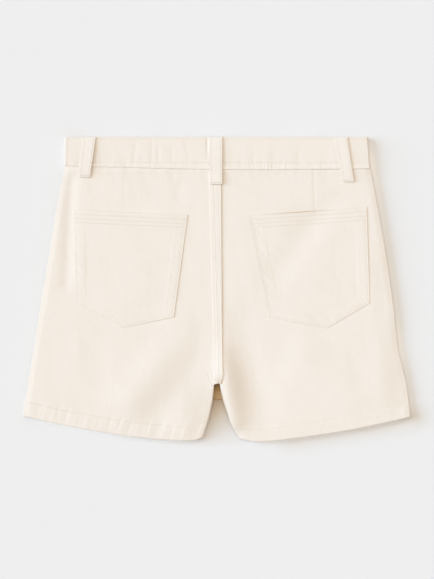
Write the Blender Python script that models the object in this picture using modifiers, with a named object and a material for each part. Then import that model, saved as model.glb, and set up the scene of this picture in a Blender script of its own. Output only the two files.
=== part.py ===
"""A girl's skort in undyed cotton twill, lying flat with its back uppermost.

Two back panels and two front panels make the shorts. A skirt panel covers the fronts, and a
waistband with belt loops and a button closes them at the waist. Metres, +Z up, the waist
towards +Y, the wearer's left towards -X. Every sheet is described by its upper face.
"""

import math
from collections import namedtuple

import bmesh
import bpy

# ------------------------------------------------------------------ driving dimensions
GAP = 0.0003                # space kept between neighbouring pieces
TWILL = 0.0012              # one layer of cloth
DOUBLE = 2 * TWILL          # a turned-up hem is two layers
POCKET_WALL = 0.0014
BAND_WALL = 0.0022          # waistband, two layers and the interlining
UNDERLAP_WALL = 0.0011      # its inner end, pressed thin under the button
LOOP_WALL = 0.0016
FELL_WALL = 0.0010

WAIST_TOP = 0.1481          # y of the waistband's upper edge
WAIST_SEAM = 0.1180         # y of the seam below the waistband
CROTCH = -0.0913            # y where the legs part
HEM_DEPTH = 0.0150          # height of the legs' turned-up hems
SKIRT_HEM = -0.1073         # y of the skirt panel's hem at its middle
SKIRT_HEM_RISE = 0.0140     # how much higher that hem is at its ends
SKIRT_HEM_DEPTH = 0.0090    # height of its turned-up hem
HALF_SPREAD = 0.1886        # half of the widest stretch across the hems

BAND_HEIGHT = 0.0082        # top of the waistband above the surface it lies on
BACK_HEIGHT = 0.0072        # top of the backs
FOLD_RADIUS = 0.0045        # the backs turn down within this distance of an edge
FOOT = 0.0005               # lowest edge of the backs, above what they reach down to
LEG_FOOT = 0.0001           # lowest face of the fronts where no skirt panel is under them
SEAT_LIP = 0.0120           # below the crotch, the raised seat settles over this length
SIDE_CLEARANCE = 0.0009     # from a back's side wall, at its foot, to the lower sheets
TUCK_PER_RISE = 0.75        # and further in where they lie higher

FRONT_CLEARANCE = 0.0020    # the front lies this high over a loop or the button
CLEARANCE_FLAT = 0.0100     # half width of such a rise
CLEARANCE_FOOT = 0.0200     # half width of its foot
CLEARANCE_LENGTH = 0.0160   # how far it reaches below the waist seam
CLEARANCE_FADE = 0.0180     # and the length over which it then ends

OVERLAP = 0.0120            # each end of the waistband passes the centre by this
OVERLAP_RAMP = 0.0100       # the inner end climbs over the outer one in this length
BUTTON_RADIUS = 0.0075
BUTTON_THICKNESS = 0.0015
FRONT_LOOP_X = 0.0850       # distance of the front belt loops from the centre
LOOP_WIDTH = 0.0120
LOOP_RISE = 0.0015          # a back loop stands this far off the waistband

# ------------------------------------------------------------------ outline tables
Place = namedtuple("Place", "y x")          # a point of an edge that runs down the body
Sag = namedtuple("Sag", "across drop")      # drop of a hem below the line joining its ends
Fold = namedtuple("Fold", "x0 y0 x1 y1 reach start end")
Loop = namedtuple("Loop", "name x_top width_top x_low width_low y_low")
Row = namedtuple("Row", "y_left y_right sag")
Leg = namedtuple("Leg", "name side outer inner y_outer y_inner hem")

SIDE_LEFT = (
    Place(0.1180, -0.1481),
    Place(0.1063, -0.1503),
    Place(0.0869, -0.1544),
    Place(0.0384, -0.1622),
    Place(-0.0102, -0.1704),
    Place(-0.0587, -0.1782),
    Place(-0.1228, -0.1886),
)
SIDE_RIGHT = (
    Place(0.1180, 0.1500),
    Place(0.0869, 0.1558),
    Place(0.0384, 0.1644),
    Place(-0.0102, 0.1716),
    Place(-0.0587, 0.1772),
    Place(-0.0780, 0.1818),
    Place(-0.0975, 0.1858),
    Place(-0.1240, 0.1886),
)
INSEAM_LEFT = (
    Place(CROTCH, -0.0021),
    Place(-0.1053, -0.0030),
    Place(-0.1247, -0.0068),
    Place(-0.1440, -0.0128),
)
INSEAM_RIGHT = (
    Place(CROTCH, 0.0031),
    Place(-0.1053, 0.0054),
    Place(-0.1199, 0.0102),
    Place(-0.1300, 0.0136),
    Place(-0.1445, 0.0215),
)
HEM_LEFT = (
    Sag(0.00, 0.0),
    Sag(0.05, 0.0036),
    Sag(0.14, 0.0059),
    Sag(0.42, 0.0072),
    Sag(0.78, 0.0040),
    Sag(1.00, 0.0),
)
HEM_RIGHT = (
    Sag(0.00, 0.0),
    Sag(0.05, 0.0030),
    Sag(0.13, 0.0062),
    Sag(0.38, 0.0068),
    Sag(0.68, 0.0050),
    Sag(1.00, 0.0),
)

WEARER_LEFT = Leg("left", -1, SIDE_LEFT, INSEAM_LEFT, -0.1228, -0.1440, HEM_LEFT)
WEARER_RIGHT = Leg("right", 1, SIDE_RIGHT, INSEAM_RIGHT, -0.1240, -0.1445, HEM_RIGHT)
BAND_LEFT = (Place(WAIST_SEAM, -0.1481), Place(WAIST_TOP, -0.1476))
BAND_RIGHT = (Place(WAIST_SEAM, 0.1496), Place(WAIST_TOP, 0.1471))

SEAT_TOP_X = -0.0015        # the centre-back seam leans a little to the wearer's right
SEAT_LOW_X = 0.0022
FELL_TOP_WIDTH = 0.0121
FELL_LOW_WIDTH = 0.0078

# soft troughs (heights below 0) and ridges of the backs, each along a line between two points,
# with its height at the start and the end of that line
FOLDS = (
    Fold(-0.0100, -0.0660, -0.0570, -0.1210, 0.0180, -0.0012, -0.0018),
    Fold(-0.0320, -0.0440, -0.0800, -0.1010, 0.0190, 0.0008, 0.0026),
    Fold(-0.0080, -0.1080, -0.0150, -0.1400, 0.0110, -0.0002, -0.0006),
    Fold(-0.1410, 0.1050, -0.1460, 0.0050, 0.0060, -0.0011, -0.0009),
    Fold(0.0050, -0.0640, 0.0160, -0.1280, 0.0120, 0.0014, 0.0029),
    Fold(0.0230, -0.0400, 0.0400, -0.1100, 0.0150, -0.0008, -0.0008),
    Fold(0.0340, -0.0400, 0.0540, -0.1100, 0.0200, -0.0007, -0.0008),
    Fold(0.0990, 0.0700, 0.0600, 0.0180, 0.0135, -0.0012, -0.0012),
    Fold(0.1780, -0.0450, 0.1810, -0.1120, 0.0110, -0.0010, -0.0007),
    Fold(0.0900, -0.0650, 0.1300, -0.1050, 0.0200, 0.0011, 0.0011),
)

BACK_LOOPS = (
    Loop("loop_back_left", -0.1231, 0.0131, -0.1278, 0.0109, 0.1088),
    Loop("loop_back_centre", -0.0005, 0.0131, -0.0005, 0.0126, 0.1020),
    Loop("loop_back_right", 0.1204, 0.0130, 0.1279, 0.0112, 0.1044),
)

# pocket corners: mouth at both ends, lower corners at both ends and the tip between them
Pocket = namedtuple("Pocket", "name mouth_left mouth_right low_left tip low_right")
POCKETS = (
    Pocket("pocket_left", (-0.1389, 0.0777), (-0.0292, 0.0725),
           (-0.1377, -0.0146), (-0.0916, -0.0372), (-0.0436, -0.0275)),
    Pocket("pocket_right", (0.0316, 0.0714), (0.1461, 0.0792),
           (0.0519, -0.0275), (0.1072, -0.0377), (0.1488, -0.0133)),
)

# ------------------------------------------------------------------ grid densities
EDGE_STEPS = (0.0, 0.0006, 0.0018, 0.0045)  # columns next to a rounded edge
BACK_COLUMNS = 10                           # columns between the rounded edges
SEAT_ROWS = 15                              # rows from the waist seam to the crotch
LEG_ROWS = 6                                # and from there to the hem
FRONT_ROWS = 6
SIDE_STEPS = 6                              # facets of a rounded side of the waistband
SMOOTH_ANGLE = math.radians(50)

CREAM = (0.87, 0.80, 0.70, 1.0)
HORN = (0.72, 0.62, 0.48, 1.0)
TWILL_ROUGHNESS = 0.9
HORN_ROUGHNESS = 0.35


# ------------------------------------------------------------------ lines and heights
def mix(start, end, share):
    return start + (end - start) * share


def ease(share):
    """Go smoothly from 0 to 1 as share does, and stay level outside that."""
    share = min(max(share, 0.0), 1.0)
    return share * share * (3.0 - 2.0 * share)


def follow(rows, place):
    """Read a smooth line through a table whose first column is the place along it."""
    rows = sorted(rows)
    index = 0
    while index < len(rows) - 2 and place > rows[index + 1][0]:
        index += 1

    def slope(at):
        before = rows[max(at - 1, 0)]
        after = rows[min(at + 1, len(rows) - 1)]
        return (after[1] - before[1]) / (after[0] - before[0])

    length = rows[index + 1][0] - rows[index][0]
    share = (place - rows[index][0]) / length
    bend_start = slope(index) * length
    bend_end = slope(index + 1) * length
    start, end = rows[index][1], rows[index + 1][1]
    cubic = 2 * start - 2 * end + bend_start + bend_end
    square = 3 * end - 3 * start - 2 * bend_start - bend_end
    return ((cubic * share + square) * share + bend_start) * share + start


def seat_x(y):
    """The centre-back seam's place across the body."""
    return mix(SEAT_TOP_X, SEAT_LOW_X, (WAIST_SEAM - y) / (WAIST_SEAM - CROTCH))


def front_seam_x(y):
    """The centre-front seam's place, straight above its lower half."""
    return SEAT_LOW_X * ease(y / CROTCH)


def fold_height(x, y, fold):
    """Height of a soft trough or ridge with round ends."""
    along_x, along_y = fold.x1 - fold.x0, fold.y1 - fold.y0
    share = ((x - fold.x0) * along_x + (y - fold.y0) * along_y) / (along_x ** 2 + along_y ** 2)
    share = min(max(share, 0.0), 1.0)
    away = math.hypot(x - mix(fold.x0, fold.x1, share), y - mix(fold.y0, fold.y1, share))
    return mix(fold.start, fold.end, share) * math.exp(-(away / fold.reach) ** 2)


def back_lie(x, y):
    """Height of the backs' upper face away from their edges, with its soft folds."""
    return BACK_HEIGHT + sum(fold_height(x, y, fold) for fold in FOLDS)


def rounding(distance):
    """Share of the full height at a distance from a rounded edge, a quarter of an ellipse."""
    share = min(max(distance / FOLD_RADIUS, 0.0), 1.0)
    return math.sqrt(1.0 - (1.0 - share) ** 2)


def front_rise(x, y):
    """How far the front lies off the surface, over the front loops and the button."""
    nearest = min(abs(x), abs(abs(x) - FRONT_LOOP_X))
    across = (CLEARANCE_FOOT - nearest) / (CLEARANCE_FOOT - CLEARANCE_FLAT)
    below = (WAIST_SEAM - y - CLEARANCE_LENGTH) / CLEARANCE_FADE
    return FRONT_CLEARANCE * min(max(across, 0.0), 1.0) * (1.0 - min(max(below, 0.0), 1.0))


def skirt_hem(x):
    return SKIRT_HEM + SKIRT_HEM_RISE * (x / HALF_SPREAD) ** 2


# what the shorts' fronts lie on: distance above the skirt's hem, height of the sheet's base
SHELF = (
    (-0.0090, LEG_FOOT),
    (-0.0010, DOUBLE + GAP),
    (SKIRT_HEM_DEPTH + GAP, DOUBLE + GAP),
    (SKIRT_HEM_DEPTH + 0.0070, TWILL + GAP),
)


def front_base(x, y):
    """Height of the lower face of the shorts' fronts, over the skirt panel and past it."""
    above_hem = y - skirt_hem(x)
    base = SHELF[0][1] if above_hem < SHELF[0][0] else SHELF[-1][1]
    for low, high in zip(SHELF, SHELF[1:]):
        if low[0] <= above_hem <= high[0]:
            base = mix(low[1], high[1], (above_hem - low[0]) / (high[0] - low[0]))
    return base + front_rise(x, y)


# ------------------------------------------------------------------ making solids
def clear_scene():
    for item in list(bpy.data.objects):
        bpy.data.objects.remove(item, do_unlink=True)


def finish(name, colour, roughness):
    """A plain material for one piece."""
    material = bpy.data.materials.new(name)
    material.use_nodes = True
    shader = material.node_tree.nodes["Principled BSDF"]
    shader.inputs["Base Color"].default_value = colour
    shader.inputs["Roughness"].default_value = roughness
    shader.inputs["Metallic"].default_value = 0.0
    return material


def add_object(name, shape, material, collection):
    mesh = bpy.data.meshes.new(name)
    shape.to_mesh(mesh)
    shape.free()
    mesh.materials.append(material)
    piece = bpy.data.objects.new(name, mesh)
    collection.objects.link(piece)
    return piece


def lay_cloth(name, columns, rows, place, wall, collection):
    """Lay a grid over place(column, row), then give it wall(column, row) below its face."""
    shape = bmesh.new()
    bmesh.ops.create_grid(shape, x_segments=columns - 1, y_segments=rows - 1, size=0.5)
    walls = []
    for vertex in shape.verts:
        column = round((vertex.co.x + 0.5) * (columns - 1))
        row = round((0.5 - vertex.co.y) * (rows - 1))
        walls.append(wall(column, row))
        vertex.co = place(column, row)
    piece = add_object(name, shape, finish(name + "_twill", CREAM, TWILL_ROUGHNESS), collection)
    full = max(walls)
    group = piece.vertex_groups.new(name="wall")
    for index, amount in enumerate(walls):
        group.add([index], amount / full, "REPLACE")
    solid = piece.modifiers.new("wall", "SOLIDIFY")
    solid.thickness = full
    solid.offset = -1.0
    solid.use_even_offset = True
    solid.vertex_group = group.name
    piece.data.shade_smooth()
    piece.data.set_sharp_from_angle(angle=SMOOTH_ANGLE)
    return piece


def blend_rows(upper, lower, share):
    """The row that lies share of the way from one row to another."""
    return Row(
        mix(upper.y_left, lower.y_left, share),
        mix(upper.y_right, lower.y_right, share),
        lambda across: mix(upper.sag(across), lower.sag(across), share),
    )


def level(across):
    return 0.0


def row_point(row, left, right, from_left, from_right):
    """Point of a row, from_left along it, or from_right back from its other end."""
    x_left, x_right = left(row.y_left), right(row.y_right)
    width = x_right - x_left
    distance = from_left if from_left is not None else width - from_right
    across = distance / width
    y = mix(row.y_left, row.y_right, across) - row.sag(across)
    return x_left + distance, y, distance, width - distance


def spread_columns(width, count):
    """Distances across a panel, close together next to both of its edges."""
    inside = width - 2 * EDGE_STEPS[-1]
    middle = [EDGE_STEPS[-1] + inside * (step + 1) / (count + 1) for step in range(count)]
    return list(EDGE_STEPS) + middle + [width - step for step in reversed(EDGE_STEPS)]


# ------------------------------------------------------------------ the shorts' backs
def leg_edges(leg, seam, tuck):
    """The lines of a leg panel's left and right edges, as functions of y."""
    def outer(y):
        return follow(leg.outer, y) - leg.side * tuck

    def inner(y):
        if y >= CROTCH:
            return seam(y) + leg.side * GAP / 2
        return follow(leg.inner, y) + leg.side * tuck

    return (outer, inner) if leg.side < 0 else (inner, outer)


def leg_row(leg, y_inner, y_outer, sag):
    """A row given by its ends at the centre and at the side."""
    if leg.side < 0:
        return Row(y_outer, y_inner, lambda across: sag(1.0 - across))
    return Row(y_inner, y_outer, sag)


def hem_row(leg, above=0.0):
    """The hem's lower edge, or a row that runs along it above it by a distance."""
    return leg_row(leg, leg.y_inner + above, leg.y_outer + above,
                   lambda across: follow(leg.hem, across))


def waist_row(leg):
    return leg_row(leg, WAIST_SEAM - GAP, WAIST_SEAM - GAP, level)


def back_rows(leg):
    """Rows of a back, one of them through the crotch and one along the hem's stitching."""
    waist, stitching = waist_row(leg), hem_row(leg, HEM_DEPTH)
    crotch = (waist.y_left - CROTCH) / (waist.y_left - leg.y_inner - HEM_DEPTH)
    shares = [crotch * step / SEAT_ROWS for step in range(SEAT_ROWS + 1)]
    shares += [mix(crotch, 1.0, (step + 1) / LEG_ROWS) for step in range(LEG_ROWS)]
    return [blend_rows(waist, stitching, share) for share in shares] + [hem_row(leg)]


def back_point(leg, rows, column, row):
    left, right = leg_edges(leg, seat_x, 0.0)
    width = right(rows[row].y_right) - left(rows[row].y_left)
    distance = spread_columns(width, BACK_COLUMNS)[column]
    x, y, from_left, from_right = row_point(rows[row], left, right, distance, None)
    to_side, to_centre = (from_left, from_right) if leg.side < 0 else (from_right, from_left)
    y_centre = rows[row].y_right if leg.side < 0 else rows[row].y_left
    settled = ease((CROTCH - y_centre) / SEAT_LIP)
    share = rounding(to_side) * mix(1.0, rounding(to_centre), settled)
    foot = FOOT if to_side < to_centre else FOOT + front_base(x, y)
    return x, y, mix(foot, back_lie(x, y), share)


def build_back(leg, collection):
    rows = back_rows(leg)
    columns = BACK_COLUMNS + 2 * len(EDGE_STEPS)
    lay_cloth(
        "back_" + leg.name, columns, len(rows),
        lambda column, row: back_point(leg, rows, column, row),
        lambda column, row: DOUBLE if row >= len(rows) - 2 else TWILL,
        collection,
    )


def build_seat_fell(collection):
    """The felled seam, a raised strip over the join of the two backs."""
    rows = back_rows(WEARER_RIGHT)[:SEAT_ROWS + 1]
    across = (-1.0, -0.4, 0.4, 1.0)

    def place(column, row):
        y = rows[row].y_left - (GAP if row == 0 else 0.0)
        share = (WAIST_SEAM - y) / (WAIST_SEAM - CROTCH)
        half = mix(FELL_TOP_WIDTH, FELL_LOW_WIDTH, share) / 2
        x = seat_x(y) + across[column] * half
        return x, y, back_lie(x, y) + GAP + FELL_WALL

    lay_cloth("seat_fell", len(across), len(rows), place, lambda column, row: FELL_WALL,
              collection)


# ------------------------------------------------------------------ fronts and skirt panel
def skirt_row(leg, above):
    """A row of a leg's front that runs along the skirt panel's hem, above it by a distance."""
    x_outer = follow(leg.outer, SKIRT_HEM + SKIRT_HEM_RISE)
    y_outer = skirt_hem(x_outer) + above
    y_inner = SKIRT_HEM + above

    def sag(across):
        return mix(y_inner, y_outer, across) - skirt_hem(across * x_outer) - above

    return leg_row(leg, y_inner, y_outer, sag)


def front_rows(leg):
    waist = waist_row(leg)
    rows = [waist]
    for below in (CLEARANCE_LENGTH, CLEARANCE_LENGTH + CLEARANCE_FADE):
        rows.append(leg_row(leg, waist.y_left - below, waist.y_left - below, level))
    shelf = [skirt_row(leg, above) for above, base in reversed(SHELF)]
    crotch = leg_row(leg, CROTCH, CROTCH + SKIRT_HEM_RISE, shelf[0].sag)
    for step in range(FRONT_ROWS):
        rows.append(blend_rows(rows[2], crotch, (step + 1) / FRONT_ROWS))
    return rows + shelf[1:] + [hem_row(leg, HEM_DEPTH), hem_row(leg)]


def front_columns(width):
    """Distances from the centre, with a column at each break of the rises."""
    breaks = [0.0, CLEARANCE_FLAT, CLEARANCE_FOOT, 0.045]
    breaks += [FRONT_LOOP_X + side * half for side, half in (
        (-1, CLEARANCE_FOOT), (-1, CLEARANCE_FLAT), (1, CLEARANCE_FLAT), (1, CLEARANCE_FOOT))]
    last = breaks[-1]
    return breaks + [mix(last, width, share) for share in (0.4, 0.75, 1.0)]


def front_wall(rows, row):
    return DOUBLE if row >= len(rows) - 2 else TWILL


def front_point(leg, rows, column, row):
    y_middle = (rows[row].y_left + rows[row].y_right) / 2
    lift = front_base(follow(leg.outer, y_middle), y_middle)
    tuck = SIDE_CLEARANCE + front_wall(rows, row) + TUCK_PER_RISE * lift
    left, right = leg_edges(leg, front_seam_x, tuck)
    width = right(rows[row].y_right) - left(rows[row].y_left)
    distance = front_columns(width)[column]
    if leg.side < 0:
        x, y, _, _ = row_point(rows[row], left, right, None, distance)
    else:
        x, y, _, _ = row_point(rows[row], left, right, distance, None)
    return x, y, front_base(x, y) + front_wall(rows, row)


def build_front(leg, collection):
    rows = front_rows(leg)
    columns = len(front_columns(1.0))

    def place(column, row):
        ordered = columns - 1 - column if leg.side < 0 else column
        return front_point(leg, rows, ordered, row)

    lay_cloth("front_" + leg.name, columns, len(rows), place,
              lambda column, row: front_wall(rows, row), collection)


def skirt_rows():
    waist = Row(WAIST_SEAM - GAP, WAIST_SEAM - GAP, level)
    y_side = SKIRT_HEM + SKIRT_HEM_RISE
    hem = Row(y_side, y_side, lambda across: y_side - skirt_hem((2 * across - 1) * HALF_SPREAD))
    rows = [waist]
    for below in (CLEARANCE_LENGTH, CLEARANCE_LENGTH + CLEARANCE_FADE):
        rows.append(Row(waist.y_left - below, waist.y_right - below, level))
    band = Row(hem.y_left + SKIRT_HEM_DEPTH, hem.y_right + SKIRT_HEM_DEPTH, hem.sag)
    rows += [blend_rows(rows[2], band, share) for share in (0.25, 0.5, 0.7, 0.86, 0.98)]
    rows += [band, hem]
    return rows


def build_skirt(collection):
    """The front skirt panel, from side seam to side seam under the shorts' fronts."""
    rows = skirt_rows()
    half = front_columns(1.0)[:-3]
    columns = 2 * len(half) + 3

    def left(y):
        return follow(SIDE_LEFT, y) + TWILL + SIDE_CLEARANCE

    def right(y):
        return follow(SIDE_RIGHT, y) - TWILL - SIDE_CLEARANCE

    def place(column, row):
        x_left, x_right = left(rows[row].y_left), right(rows[row].y_right)
        inner = [-distance for distance in reversed(half)] + half[1:]
        middle_left = mix(x_left, inner[0], 0.5)
        middle_right = mix(inner[-1], x_right, 0.5)
        x = ([x_left, middle_left] + inner + [middle_right, x_right])[column]
        across = (x - x_left) / (x_right - x_left)
        y = mix(rows[row].y_left, rows[row].y_right, across) - rows[row].sag(across)
        return x, y, front_rise(x, y) + wall(column, row)

    def wall(column, row):
        return DOUBLE if row >= len(rows) - 2 else TWILL

    lay_cloth("skirt_front", columns, len(rows), place, wall, collection)


# ------------------------------------------------------------------ waistband
def band_path():
    """Points around the flattened band, outer face, from its outer end to its inner end.

    A point is (side, reach, height, wall): reach is measured from the centre, or from the
    side's fold where side is -1 or 1.
    """
    radius = BAND_HEIGHT / 2
    fronts = [FRONT_LOOP_X + CLEARANCE_FOOT, FRONT_LOOP_X + CLEARANCE_FLAT,
              FRONT_LOOP_X - CLEARANCE_FLAT, FRONT_LOOP_X - CLEARANCE_FOOT,
              0.045, CLEARANCE_FOOT + 0.003]
    path = [(0, x, front_rise(x, WAIST_TOP), BAND_WALL) for x in (OVERLAP, CLEARANCE_FLAT)]
    path += [(0, -x, front_rise(x, WAIST_TOP), BAND_WALL)
             for x in [0.0, CLEARANCE_FLAT] + list(reversed(fronts))]
    turn = [math.pi * (step / SIDE_STEPS - 0.5) for step in range(SIDE_STEPS + 1)]
    bends = [(radius * (1 - math.cos(angle)), radius * (1 + math.sin(angle))) for angle in turn]
    path += [(-1, reach, height, BAND_WALL) for reach, height in bends]
    path += [(0, mix(-0.12, 0.12, step / 8), BAND_HEIGHT, BAND_WALL) for step in range(9)]
    path += [(1, reach, height, BAND_WALL) for reach, height in reversed(bends)]
    path += [(0, x, front_rise(x, WAIST_TOP), BAND_WALL) for x in fronts]
    over = BAND_WALL + GAP
    start = CLEARANCE_FOOT + 0.003 - OVERLAP_RAMP
    path += [(0, start, front_rise(start, WAIST_TOP) + over, BAND_WALL * 0.75)]
    path += [(0, x, front_rise(x, WAIST_TOP) + over, UNDERLAP_WALL)
             for x in (CLEARANCE_FLAT, 0.0, -OVERLAP)]
    return path


def build_waistband(collection):
    path = band_path()
    y_rows = [WAIST_SEAM + share * (WAIST_TOP - WAIST_SEAM) for share in (1.0, 0.5, 0.0)]

    def place(column, row):
        side, reach, height, _ = path[column]
        y = y_rows[row]
        if side:
            fold = follow(BAND_LEFT if side < 0 else BAND_RIGHT, y)
            return fold - side * reach, y, height
        return reach, y, height

    lay_cloth("waistband", len(path), len(y_rows), place,
              lambda column, row: path[column][3], collection)


# ------------------------------------------------------------------ belt loops
def build_back_loop(loop, collection):
    """A belt loop arched over the waistband, its lower end on the back below the seam."""
    on_fell = FELL_WALL + GAP if loop.name == "loop_back_centre" else 0.0
    low = back_lie(loop.x_low, loop.y_low) + on_fell + GAP
    high = BAND_HEIGHT + GAP
    profile = (
        (loop.y_low, low),
        (loop.y_low + 0.0035, low),
        (WAIST_SEAM + 0.0015, high + 0.4 * LOOP_RISE),
        (mix(WAIST_SEAM, WAIST_TOP, 0.45), high + LOOP_RISE),
        (WAIST_TOP - 0.0060, high + 0.4 * LOOP_RISE),
        (WAIST_TOP - 0.0030, high),
        (WAIST_TOP - GAP, high),
    )
    places = [profile[0][0], profile[1][0]]
    places += [mix(profile[1][0], profile[2][0], share) for share in (0.5, 1.0)]
    places += [mix(profile[2][0], profile[4][0], share) for share in (0.25, 0.5, 0.75, 1.0)]
    places += [profile[5][0], profile[6][0]]
    places.reverse()
    across = (-0.5, 0.5)

    def place(column, row):
        y = places[row]
        share = (WAIST_TOP - y) / (WAIST_TOP - loop.y_low)
        width = mix(loop.width_top, loop.width_low, share)
        x = mix(loop.x_top, loop.x_low, share) + across[column] * width
        return x, y, max(follow(profile, y), low) + LOOP_WALL

    lay_cloth(loop.name, len(across), len(places), place, lambda column, row: LOOP_WALL,
              collection)


def build_front_loop(name, side, collection):
    """A belt loop pressed flat between the waistband's front and the surface."""
    y_rows = (WAIST_TOP - GAP, WAIST_SEAM, WAIST_SEAM - 0.0130)

    def place(column, row):
        return side * FRONT_LOOP_X + (column - 0.5) * LOOP_WIDTH, y_rows[row], LOOP_WALL

    lay_cloth(name, 2, len(y_rows), place, lambda column, row: LOOP_WALL, collection)


# ------------------------------------------------------------------ back pockets
POCKET_COLUMNS = (6, 5)      # steps from the left corner to the tip, and on to the right one
POCKET_STEPS = 9


def build_pocket(pocket, collection):
    """A patch pocket on a back, made from the back's own surface and moved out."""
    steps_left, steps_right = POCKET_COLUMNS
    columns = steps_left + steps_right + 1
    tip_share = ((pocket.tip[0] - pocket.low_left[0])
                 / (pocket.low_right[0] - pocket.low_left[0]))

    def place(column, row):
        if column <= steps_left:
            part = column / steps_left
            across = tip_share * part
            low = [mix(pocket.low_left[axis], pocket.tip[axis], part) for axis in (0, 1)]
        else:
            part = (column - steps_left) / steps_right
            across = mix(tip_share, 1.0, part)
            low = [mix(pocket.tip[axis], pocket.low_right[axis], part) for axis in (0, 1)]
        mouth = [mix(pocket.mouth_left[axis], pocket.mouth_right[axis], across)
                 for axis in (0, 1)]
        down = row / POCKET_STEPS
        x, y = mix(mouth[0], low[0], down), mix(mouth[1], low[1], down)
        return x, y, back_lie(x, y) + GAP + POCKET_WALL

    lay_cloth(pocket.name, columns, POCKET_STEPS + 1, place,
              lambda column, row: POCKET_WALL, collection)


# ------------------------------------------------------------------ button
def build_button(collection):
    """The waist button, face down: a turned disc with a raised rim."""
    profile = (
        (0.0, BUTTON_THICKNESS),
        (BUTTON_RADIUS - 0.0005, BUTTON_THICKNESS),
        (BUTTON_RADIUS, BUTTON_THICKNESS - 0.0004),
        (BUTTON_RADIUS, 0.0004),
        (BUTTON_RADIUS - 0.0004, 0.0),
        (BUTTON_RADIUS - 0.0018, 0.0),
        (BUTTON_RADIUS - 0.0022, 0.0004),
        (0.0, 0.0004),
    )
    shape = bmesh.new()
    points = [shape.verts.new((x, 0.0, z)) for x, z in profile]
    for start, end in zip(points, points[1:]):
        shape.edges.new((start, end))
    button = add_object("waist_button", shape,
                        finish("waist_button_horn", HORN, HORN_ROUGHNESS), collection)
    button.location = (0.0, mix(WAIST_SEAM, WAIST_TOP, 0.5), 0.0)
    turn = button.modifiers.new("turn", "SCREW")
    turn.steps = 24
    turn.render_steps = 24
    turn.use_merge_vertices = True
    turn.merge_threshold = 0.0001


def main():
    clear_scene()
    collection = bpy.data.collections.new("skort")
    bpy.context.scene.collection.children.link(collection)
    for leg in (WEARER_LEFT, WEARER_RIGHT):
        build_back(leg, collection)
        build_front(leg, collection)
    build_seat_fell(collection)
    build_skirt(collection)
    build_waistband(collection)
    for loop in BACK_LOOPS:
        build_back_loop(loop, collection)
    build_front_loop("loop_front_left", -1, collection)
    build_front_loop("loop_front_right", 1, collection)
    for pocket in POCKETS:
        build_pocket(pocket, collection)
    build_button(collection)


main()
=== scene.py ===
"""A girl's skort in undyed cotton twill, lying flat with its back uppermost.

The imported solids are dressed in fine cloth: thin shells on the same outlines, with their creases,
darts, seams and turned edges, sewn with their own thread. Metres, +Z up, the waist towards +Y.
"""

import math
from collections import namedtuple

import bpy
import numpy as np
from bpy.props import FloatProperty, FloatVectorProperty, PointerProperty
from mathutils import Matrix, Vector


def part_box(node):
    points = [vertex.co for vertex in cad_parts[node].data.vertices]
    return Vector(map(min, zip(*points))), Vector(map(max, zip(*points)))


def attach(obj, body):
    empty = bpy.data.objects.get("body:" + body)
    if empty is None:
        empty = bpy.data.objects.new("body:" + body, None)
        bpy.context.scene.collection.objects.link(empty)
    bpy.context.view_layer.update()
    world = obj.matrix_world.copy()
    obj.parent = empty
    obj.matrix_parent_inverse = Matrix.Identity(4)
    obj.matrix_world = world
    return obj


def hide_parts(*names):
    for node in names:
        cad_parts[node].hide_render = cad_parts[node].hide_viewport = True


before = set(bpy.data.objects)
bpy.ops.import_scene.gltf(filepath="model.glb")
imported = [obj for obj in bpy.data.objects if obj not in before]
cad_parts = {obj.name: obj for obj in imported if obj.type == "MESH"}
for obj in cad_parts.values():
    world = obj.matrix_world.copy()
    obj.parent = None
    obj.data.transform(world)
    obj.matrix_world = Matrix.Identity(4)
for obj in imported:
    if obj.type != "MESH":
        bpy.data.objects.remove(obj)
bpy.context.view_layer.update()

bl_info = {
    "name": "Cream twill skort",
    "version": (1, 0, 0),
    "blender": (4, 5, 0),
    "location": "3D View > Sidebar > Skort",
    "description": "Dresses the packed skort in cotton twill, thread and horn",
    "category": "Add Mesh",
}

# ------------------------------------------------------------------ sizes shared with the solids
BAND_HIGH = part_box("waistband")[1]
BUTTON_LOW, BUTTON_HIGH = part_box("waist_button")
WAIST_TOP = BAND_HIGH.y                         # y of the waistband's upper edge
BAND_HEIGHT = BAND_HIGH.z                       # its top above the surface it lies on
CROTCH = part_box("seat_fell")[0].y               # y where the legs part
SKIRT_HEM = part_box("skirt_front")[0].y          # y of the skirt panel's hem at its middle
HALF_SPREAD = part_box("back_right")[1].x         # half of the widest stretch across the hems

GAP = 0.0003                # space kept between neighbouring pieces
TWILL = 0.0012              # one layer of cloth
DOUBLE = 2 * TWILL          # a turned-up hem is two layers
POCKET_WALL = 0.0008        # two layers, pressed onto the back
POCKET_SUNK = 0.00030       # and where an edge sinks into it
BAND_WALL = 0.0022
UNDERLAP_WALL = 0.0011
LOOP_WALL = 0.0011
FELL_WALL = 0.0008
PRESSED = 0.0001            # what is sewn flat onto a panel is this far from it

WAIST_SEAM = 0.1180         # y of the seam below the waistband
HEM_DEPTH = 0.0150          # height of the legs' turned-up hems
SKIRT_HEM_RISE = 0.0140     # how much higher the skirt panel's hem is at its ends
SKIRT_HEM_DEPTH = 0.0090

BACK_HEIGHT = 0.0072        # top of the backs
FOLD_RADIUS = 0.0045        # the backs' points are closer together this near to an edge
SIDE_TURN = 0.0006          # their side edges turn down most of the way within this
FOOT = 0.0005               # lowest edge of the backs, above what they reach down to
LEG_FOOT = 0.0001           # lowest face of the fronts where no skirt panel is under them
SEAT_LIP = 0.0120           # below the crotch, the raised seat settles over this length
SIDE_CLEARANCE = 0.0009     # from a back's side wall to the sheets under it
TUCK_PER_RISE = 0.75        # and further in where they lie higher

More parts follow.
